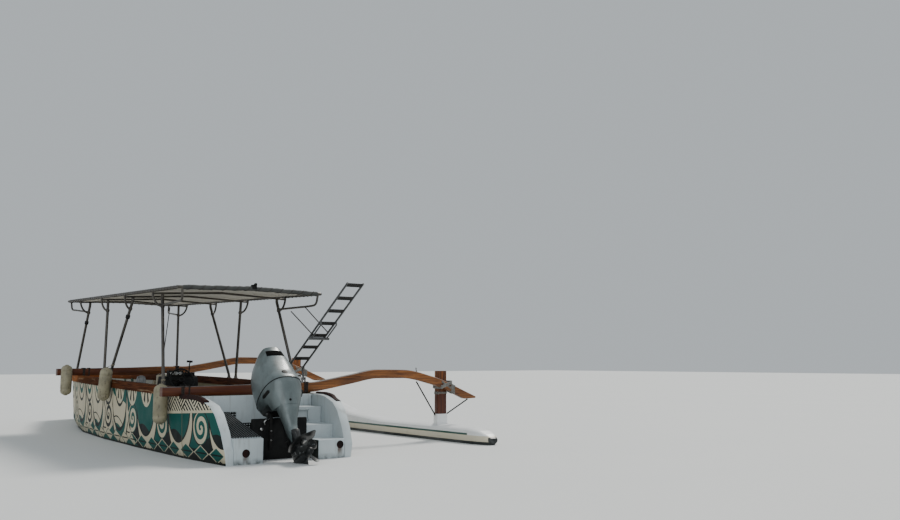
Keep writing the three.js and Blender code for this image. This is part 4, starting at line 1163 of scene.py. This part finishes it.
cover = body_of_rows(COWL, 7)
motor_piece(cover, "cowl_cover", motor_shell, replaces=["motor_cover"], edit=keep_side(1, 0.0035))
lower = cover.piece("cowl_lower", motor_shell, "motor", "motor_paint", edit=keep_side(-1, 0.0))
notch = Shape().box((-0.185, -0.6, -0.6), (0.6, 0.6, 0.056)).piece("notch", motor_shell)
boolean(lower, notch)
boolean(lower, body_of_rows(APRON, 6).piece("apron", motor_shell), "UNION")
head = Shape().box((-0.165, -0.040, 0.0284), (-0.070, 0.040, 0.060)).piece("head", motor_shell)
boolean(lower, head, "UNION")
tilt_mesh(lower)
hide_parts("motor_apron")

# Rubber in the seam, air intake, latch slot, plug and a plain round boss
SEAM_SIDES = 96
spine = spline(COWL, 12)
rows = np.array([section(*row, sides=SEAM_SIDES) for row in spine])
gaps = np.abs(rows[:, :, 2] - (SEAM_Z - SEAM_SLOPE * rows[:, :, 0]))
ring = rows[gaps.argmin(0), range(SEAM_SIDES)]
ring[:, 2] = SEAM_Z + 0.0015 - SEAM_SLOPE * ring[:, 0]
trim = Shape().tube(ring * (1.002, 1.004, 1.0), 0.0065, 8, True)
motor_piece(trim, "cowl_seam", black, "black_plastic")
PATCH_WIDE = 12


def patch(corners, lift, steps=8):
    """Curved panel on the cover's back, between four corners given as z and a half-width."""
    (z0, w0), (z1, w1) = corners
    count = PATCH_WIDE + 1
    top = []
    for i in range(steps + 1):
        z = z0 + (z1 - z0) * i / steps
        rear, front, half = (np.interp(z, spine[:, 0], spine[:, k]) for k in (1, 2, 3))
        for j in range(count):
            y = (w0 + (w1 - w0) * i / steps) * (2 * j / PATCH_WIDE - 1)
            share = max(1 - abs(y / half) ** SQUARENESS, 0) ** (1 / SQUARENESS)
            top.append(((rear + front) / 2 - (front - rear) / 2 * share - lift, y, z))
    under = [(x + lift + 0.012, y, z) for x, y, z in top]
    faces = []
    for i in range(steps):
        for j in range(PATCH_WIDE):
            quad = [i * count + j, i * count + j + 1, (i + 1) * count + j + 1, (i + 1) * count + j]
            faces += [quad, [len(top) + k for k in quad[::-1]]]
    rim = [*range(count), *(i * count + PATCH_WIDE for i in range(1, steps + 1))]
    rim += [*(steps * count + PATCH_WIDE - 1 - j for j in range(PATCH_WIDE)),
            *(i * count for i in range(steps - 1, 0, -1))]
    for a, b in zip(rim, rim[1:] + rim[:1]):
        faces.append((a, b, b + len(top), a + len(top)))
    return Shape().add(top + under, faces)


# The intake is a near-black sheet behind the fins: painted shade of the opening
intake = patch([(0.742, 0.132), (0.838, 0.122)], 0.0022)
motor_piece(intake, "cowl_intake", intake_black, "black_plastic", bevel=0.0015)
fins = Shape()
for z in (0.760, 0.780, 0.800, 0.820):
    strip = patch([(z, 0.118), (z + 0.004, 0.117)], 0.006, 1)
    fins.add(strip.points, strip.faces)
motor_piece(fins, "cowl_intake_fins", intake_black, "black_plastic")
rear = spine[np.argmin(np.abs(spine[:, 0] - 0.414)), 1]
boss = Shape().lathe([(.040, -.006), (.040, .002), (.036, .005), (.001, .0055)],
                     (rear, .006, .414), (-.86, 0, .50), 32)
motor_piece(boss, "cowl_boss", dark_metal, "dark_metal", bevel=0.001)
rear = spine[np.argmin(np.abs(spine[:, 0])), 1]
plug = Shape().lathe([(.017, -.004), (.017, .003), (.012, .0045), (.001, .0045)],
                     (rear, .010, .0), (-1, 0, -.2), 20)
motor_piece(plug, "cowl_plug", black, "black_plastic")
slot = Shape()
for side in (1, -1):
    slot.tube([(-.318, side * .236, .176), (-.300, side * .245, .180), (-.200, side * .268, .158),
               (-.180, side * .268, .152)], [.016, .026, .026, .016], 12)
motor_piece(slot, "cowl_slots", black, "black_plastic")

# Leg, plate, gearcase and skeg
leg = body_of_rows(LEG, 1, 40)
leg.lathe([(.001, .000), (.016, .004), (.026, .014), (.040, .040), (.052, .085), (.060, .150), (.062, .210),
           (.062, .300), (.057, .350), (.050, .404), (.046, .407)], (-.078, 0, SHAFT_Z), (-1, 0, 0), 40)
outline = [(-.740, .060), (-.560, .120), (-.300, .128), (-.112, .060)]
outline += [(x, -y) for x, y in outline[::-1]]
flat = rounded([(x, y, 0) for x, y in outline + outline[:1]], 0.03, 3)[1:-1]
leg.loft([flat + (0, 0, z) for z in (-.622, -.610)])
fin = [(-.470, -.050), (-.440, -.215), (-.330, -.215), (-.180, -.040)]
fin = rounded([(x, 0, SHAFT_Z + z) for x, z in fin], 0.03)
middle = fin.mean(axis=0)
thin = middle + (fin - middle) * (0.93, 0, 0.97)
leg.loft([thin - (0, .007, 0), fin - (0, .004, 0), fin + (0, .004, 0), thin + (0, .007, 0)])
leg.box((-.175, -.036, -.456), (-.070, .036, -.4303))
leg.tube([(-.470, 0, SHAFT_Z), (-.4947, 0, SHAFT_Z)], 0.014, 16)
motor_piece(leg, "leg", motor_shell, "dark_metal", replaces=["motor_gearcase"], bevel=0.003)
small = Shape()
for side in (1, -1):
    for k in range(5):
        x = -.210 - .018 * k
        y = side * 0.0505
        small.box((x - .004, y - .006, -.735), (x + .004, y + .006, -.690))
small.box((-.520, -.020, -.6235), (-.440, .020, -.655))
motor_piece(small, "leg_details", bright, "steel", bevel=0.0015)

# Propeller
blades = Shape().lathe([(.001, -.058), (.030, -.055), (.044, -.040), (.047, .0), (.049, .040), (.050, .055),
                        (.001, .055)], (0, 0, 0), (1, 0, 0), 36)
for start in (45, 165, 285):
    rings = []
    for k in range(15):
        s = k / 14
        r = 0.040 + 0.144 * s
        chord = 0.078 * (1 - 0.25 * s) * math.sqrt(max(1 - max(0, (s - 0.55) / 0.45) ** 2.4, 0.004))
        pitch = math.atan2(0.075, r)
        skew = 0.35 * s ** 1.6
        thick = 0.0055 * (1 - 0.7 * s) + 0.0008
        loop = []
        for a in np.linspace(0, 2 * math.pi, 21)[:-1]:
            u, v = chord * math.cos(a), thick * math.sin(a)
            arc = (u * math.cos(pitch) - v * math.sin(pitch)) / r + skew
            axial = max(-.052, min(.052, u * math.sin(pitch) + v * math.cos(pitch)))
            loop.append((axial, r * math.sin(arc), r * math.cos(arc)))
        rings.append(np.array(loop))
    turn = np.array(Matrix.Rotation(math.radians(start), 3, "X"))
    blades.loft([ring @ turn.T for ring in rings])
blades.moved(lambda p: p + (-.550, 0, SHAFT_Z))
motor_piece(blades, "screw_blades", screw_metal, "steel", "screw", replaces=["propeller"], sharp=50)

# Bright screws and handles on the clamp
hardware = Shape()
for side in (1, -1):
    y = side * .145
    hardware.lathe([(.010, 0), (.010, .036), (.014, .038), (.014, .046)], (0.440, y, .522), (1, 0, -0.3), 16)
    hardware.tube([(0.483, y - .034, .509), (0.485, y + .034, .509)], 0.006, 10)
    hardware.lathe([(.016, 0), (.016, .010), (.009, .012), (.009, .022)],
                   (0.400, side * .170, .600), (0, side, 0), 18)
    for z in (.26, .38):
        hardware.lathe([(.012, 0), (.012, .008), (.007, .009), (.007, .020)], (0.3194, y, z), (-1, 0, 0), 12)
cable = [(.335, .165, .540), (.300, .225, .535), (.300, .265, .500), (.318, .240, .470)]
hardware.tube(rounded(cable, .02), .010, 10)
hardware.lathe([(.020, 0), (.020, .012), (.012, .018)], (.3194, .290, .411), (-1, 0, 0), 16)
hardware.piece("clamp_hardware", bright, slot="steel")

# Wheel
LEAN = math.radians(25)
ex = np.array((math.sin(LEAN), 0, math.cos(LEAN)))
ez = np.array((-math.cos(LEAN), 0, math.sin(LEAN)))
ey = np.array((0, 1, 0))
hub = np.array((3.560, .200, 1.010))
wheel = Shape()
RIM_SIDES = 72
grip = 0.0135 + 0.0012 * np.cos(24 * np.arange(RIM_SIDES) * 2 * math.pi / RIM_SIDES)
wheel.tube(circle(hub, .190, RIM_SIDES, ex, ey), grip, 14, True)
for degrees in (90, 210, 330):
    a = math.radians(degrees)
    out = ex * math.cos(a) + ey * math.sin(a)
    spoke = [hub - ez * .022 + out * .02, hub - ez * .020 + out * .10, hub + out * .187]
    wheel.tube(spoke, [.013, .010, .009], 12)
wheel.lathe([(.045, -.043), (.046, -.030), (.044, -.004), (.036, .004), (.020, .007), (.001, .0075)],
            hub, ez, 36)
wheel.piece("helm_wheel", black, "helm", "black_plastic", replaces=["steering_wheel"])

# Helm: throttle box and lever, blank dials, switches
helm = Shape().box((3.80, -.105, 1.055), (3.93, .060, 1.125))
helm.tube(rounded([(3.865, -.025, 1.12), (3.850, -.025, 1.27), (3.850, -.045, 1.305)], 0.02), 0.010, 12)
helm.tube([(3.850, -.075, 1.306), (3.850, .020, 1.310)], 0.018, 14)
helm.box((3.79, .10, 1.055), (3.90, .34, 1.16))
helm.piece("helm_controls", black, slot="black_plastic", bevel=0.008)
dials = Shape()
for y in (.15, .22, .29):
    dials.lathe([(.030, -.002), (.030, .003), (.026, .005), (.024, .003), (.001, .003)],
                (3.7895, y, 1.112), (-1, 0, 0), 28)
dials.piece("helm_dials", bright, slot="steel")
switches = Shape()
for k in range(5):
    y = .12 + .045 * k
    switches.box((3.935, y, 1.0595), (3.960, y + .018, 1.075))
switches.piece("helm_switches", black, slot="black_plastic", bevel=0.002)


# Seats: crowned pads
def pad(name, low, high, replaces=(), crown=0.02, paint=seat_paint):
    """Upholstered pad: sides drawn in between the corners, top and ends crowned."""
    low, high = np.array(low, float), np.array(high, float)
    bm = bmesh.new()
    bmesh.ops.create_cube(bm, size=2.0)
    bmesh.ops.subdivide_edges(bm, edges=bm.edges, cuts=7, use_grid_fill=True)
    size = (high - low) / 2
    for v in bm.verts:
        u = np.array(v.co)
        soft = np.array([math.copysign(abs(c) ** 0.9, c) for c in u])
        edge = np.sort(np.abs(u))[1]
        pull = 1 - 0.044 * (1 - edge)
        p = soft * size * (pull if edge > 0.6 else 1.0)
        for k in range(3):
            if abs(abs(u[k]) - 1) < 1e-4:
                a, b = [u[m] for m in range(3) if m != k]
                dome = (1 - a * a) * (1 - b * b)
                p[k] = math.copysign(size[k] - crown * (1 - dome), u[k]) if k != 2 or u[2] > 0 else p[k]
        v.co = (low + high) / 2 + p
    bmesh.ops.subdivide_edges(bm, edges=bm.edges, cuts=1, use_grid_fill=True, smooth=0.6)
    lo, hi = Vector(low), Vector(high)
    for v in bm.verts:
        v.co = Vector([min(max(c, a), b) for c, a, b in zip(v.co, lo, hi)])
    piece = finished(bm, name, paint, "root", 60, replaces)


BASE_Z = .2003
BOX_DEEP = .385
PAD_LONG = .919
seat_base = Shape().box((4.200, -.150, BASE_Z), (4.700, .400, .520))
seat_base.box((4.200, -.150, .520), (4.215, .400, 1.080))
seat_base.piece("console_seat_base", liner, slot="gelcoat", bevel=0.012)
pad("console_seat_pad", (4.300, -.145, .521), (4.700, .395, .620), ["console_seat"])
pad("console_seat_back", (4.216, -.145, .640), (4.290, .395, 1.100))
for side, word in SIDES:
    rings = []
    for x in (1.9, 3.0, 5.0, 6.5):
        outer = outside(x, 0.2) - .049
        rings.append(rectangle(x, side * (outer - BOX_DEEP), side * outer, BASE_Z, .505))
    Shape().loft(rings).piece(f"bench_box_{word}", liner, slot="gelcoat", bevel=0.01)
    for k in range(5):
        x0, x1 = 1.905 + PAD_LONG * k, 1.905 + PAD_LONG * (k + 1) - .008
        outer = min(outside(x0, .2), outside(x1, .2)) - .052
        a, b = sorted((side * (outer - .395), side * outer))
        pad(f"bench_pad_{word}_{k + 1}", (x0, a, .506), (x1, b, .600), [f"bench_{word}"] if k == 0 else ())

pad("bench_backrest", (4.225, .565, .900), (4.275, .725, 1.075), crown=0.03, paint=grey_vinyl)
stalks = Shape()
for y in (.605, .685):
    stalk = [(4.300, y, .5995), (4.295, y, .80), (4.283, y, .900), (4.283, y, 1.000)]
    stalks.tube(rounded(stalk, .05), .009, 12)
    stalks.lathe([(.024, 0), (.024, .004), (.014, .008), (.010, .020)], stalk[0], (0, 0, 1), 18)
stalks.piece("backrest_stalks", steel, slot="steel")

# Fenders with their eyes and lanyards
FENDERS = [(1.700, .715, 0), (4.370, .940, 16), (6.5867, .969, 0)]
FENDER_HALF = [(.001, .262), (.016, .262), (.019, .278), (.026, .280), (.034, .268), (.052, .262),
               (.074, .248), (.090, .226), (.0965, .200), (.098, .172), (.0955, .168), (.0955, .160),
               (.098, .156), (.098, .060)]
FENDER_BEAM_Y = 1.262
FENDER_ROUND = 0.0983
CORD = 0.004
for i, (x, z, lean) in enumerate(FENDERS):
    on_beam = i == 2
    slope = 0.0 if on_beam else math.atan2(gunwale(x + .05) - gunwale(x - .05), 0.1)
    y = FENDER_BEAM_Y if on_beam else gunwale(x) + .012 + FENDER_ROUND / math.cos(slope)
    turn = np.array(Matrix.Rotation(slope, 3, "Z") @ Matrix.Rotation(math.radians(-lean), 3, "Y"))
    profile = [(r, -h) for r, h in FENDER_HALF] + FENDER_HALF[::-1]
    origin = np.array((x, y, z))
    body = Shape().lathe(profile, (0, 0, 0), (0, 0, 1), 40).moved(lambda p: p @ turn.T + origin)
    body.piece(f"fender_body_{i + 1}", fender_paint, slot="fender", replaces=[f"fender_{i + 1}"])
    top = origin + turn @ np.array((0, 0, .272))
    cords = Shape()
    if on_beam:
        beam_x, seat, _ = BEAMS["front"]
        wrap(cords, around(beam_x, FENDER_BEAM_Y, seat), 4, (0, 1, 0), 0.005)
        spot = np.array((6.690, FENDER_BEAM_Y, 1.186))
    else:
        path, at = pole(POLES[i], 1)
        tie_z = max(top[2] + 0.05, path[1][2] + 0.03)
        spot = at(canopy(POLES[i][0])[0] - tie_z)
    cords.tube(circle((0, 0, 0), .012, 16) @ turn.T + top, CORD, 8, True)
    hang = [top + (0, 0, .008), (top + spot) / 2 + (0, .010, .004), spot + unit(top - spot) * .030]
    cords.tube(spline(hang, 6), CORD, 8)
    if not on_beam:
        cords.tube([spot + (.028 * math.cos(a), .028 * math.sin(a), -.012 + .004 * a / math.pi)
                    for a in np.arange(37) * math.pi / 6], CORD, 8)
    cords.piece(f"fender_lanyard_{i + 1}", cord_pale, slot="canvas")

# Ladder
SLOPE = math.radians(33.66)
PIVOT_X, PIVOT_Z = 1.420, 1.047
BEND_X, BEND_Z = 1.405, 1.251


def rung(run, y, above=0.0):
    """Point at a distance up the ladder, above or below the middle of its rails."""
    return np.array((BEND_X - math.cos(SLOPE) * run + math.sin(SLOPE) * above, y,
                     BEND_Z + math.sin(SLOPE) * run + math.cos(SLOPE) * above))


ladder = Shape()
for y in (-.650, -.900):
    path = [(PIVOT_X + x, y, PIVOT_Z + z) for x, z in ((0, -.012), (.036, .073), (.040, .135), (.012, .186))]
    ladder.tube(rounded([*path, rung(.060, y), rung(2.025, y)], 0.06, 5), 0.0150, 16)
    ladder.tube([(PIVOT_X, y - .026, PIVOT_Z), (PIVOT_X, y + .026, PIVOT_Z)], 0.006, 10)
    ladder.tube(rounded([rung(1.135, y), rung(1.123, y, -.050), rung(.773, y, -.050)], .02), 0.011, 12)
ladder.tube([rung(.773, -.940, -.050), rung(.773, -.610, -.050)], 0.020, 18)
ladder.piece("ladder_rails", ladder_metal, "ladder", "steel", replaces=["ladder"])
TREAD_TURN = SLOPE * 0.9
along_tread = np.array((math.cos(TREAD_TURN), 0, -math.sin(TREAD_TURN)))
lift = np.array((math.sin(TREAD_TURN), 0, math.cos(TREAD_TURN)))
profile = [(-.032, -.013), (.032, -.013), (.032, .006)]
for j in range(7):
    u = .028 - .008 * j
    profile += [(u + .002, .006), (u + .001, .008), (u - .003, .008), (u - .004, .006)]
profile.append((-.032, .006))
treads = Shape()
for k in range(7):
    centre = rung(.191 + .2995 * k, -.775)
    treads.loft([np.array([centre + along_tread * u + lift * v + (0, y, 0) for u, v in profile])
                 for y in (-.1240, .1240)])
treads.piece("ladder_treads", black, "ladder", "black_plastic")

# Two hoisting lines from the canopy's starboard corner brace to the ladder
for k, (start, end) in enumerate((((2.020, -.970, 2.100), (.730, -.664, 1.700)),
                                  ((1.574, -.990, 2.140), (.700, -.914, 1.720)))):
    line = Shape().tube(np.linspace(start, end, 25), 0.0085, 8)
    piece = line.piece(f"ladder_line_{k + 1}", cord_dark, None, "canvas")
    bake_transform(piece)

# Taut strap from the forward starboard corner down to the rail
STRAP_Y = -.862
strap = Shape().tube([(FRONT_X, -1.000, 2.450), (FRONT_X, STRAP_Y, rail_top(FRONT_X) + .030)], 0.0095, 10)
strap.lathe([(.022, 0), (.022, .004), (.010, .008), (.008, .034)],
            (FRONT_X, STRAP_Y, rail_top(FRONT_X) + .0009), (0, 0, 1), 16)
strap.piece("corner_strap", cord_dark, slot="canvas")

# Fittings inside the starboard side: blank labels
SIDE_THICK = .0455
labels = Shape()
for x0, x1, z0, z1 in ((8.62, 8.80, .85, .95), (8.90, 9.02, .86, .94)):
    y = -(outside((x0 + x1) / 2, (z0 + z1) / 2) - SIDE_THICK)
    labels.box((x0, y, z0), (x1, y + .003, z1))
labels.piece("side_labels", green_label, slot="gelcoat", bevel=0.001)

# Ribs of the hull inside, and hatches in the cockpit floor
ribs = Shape()
for x in np.arange(6.9, 8.2, 0.45):
    for side in (1, -1):
        rings = []
        for z, level in ((.21, .2004), (rail_top(x) - .14, rail_top(x) - .14)):
            outer = outside(x, z) - SIDE_THICK
            rings.append(np.array([(x + a, side * (outer - b), level)
                                   for a, b in ((-.02, .03), (.02, .03), (.02, 0), (-.02, 0))]))
        ribs.loft(rings)
ribs.piece("inner_ribs", liner, slot="gelcoat", bevel=0.004)
hatches, latches = Shape(), Shape()
for x0 in (1.75, 2.55, 5.15, 5.95, 6.75):
    hatches.box((x0, -.42, .2004), (x0 + .62, .42, .2080))
    latches.lathe([(.030, 0), (.030, .003), (.024, .004), (.001, .0035)],
                  (x0 + .31, -.36, .2081), (0, 0, 1), 24)
hatches.piece("floor_hatches", liner, slot="gelcoat", bevel=0.003)
latches.piece("hatch_latches", bright, slot="steel")
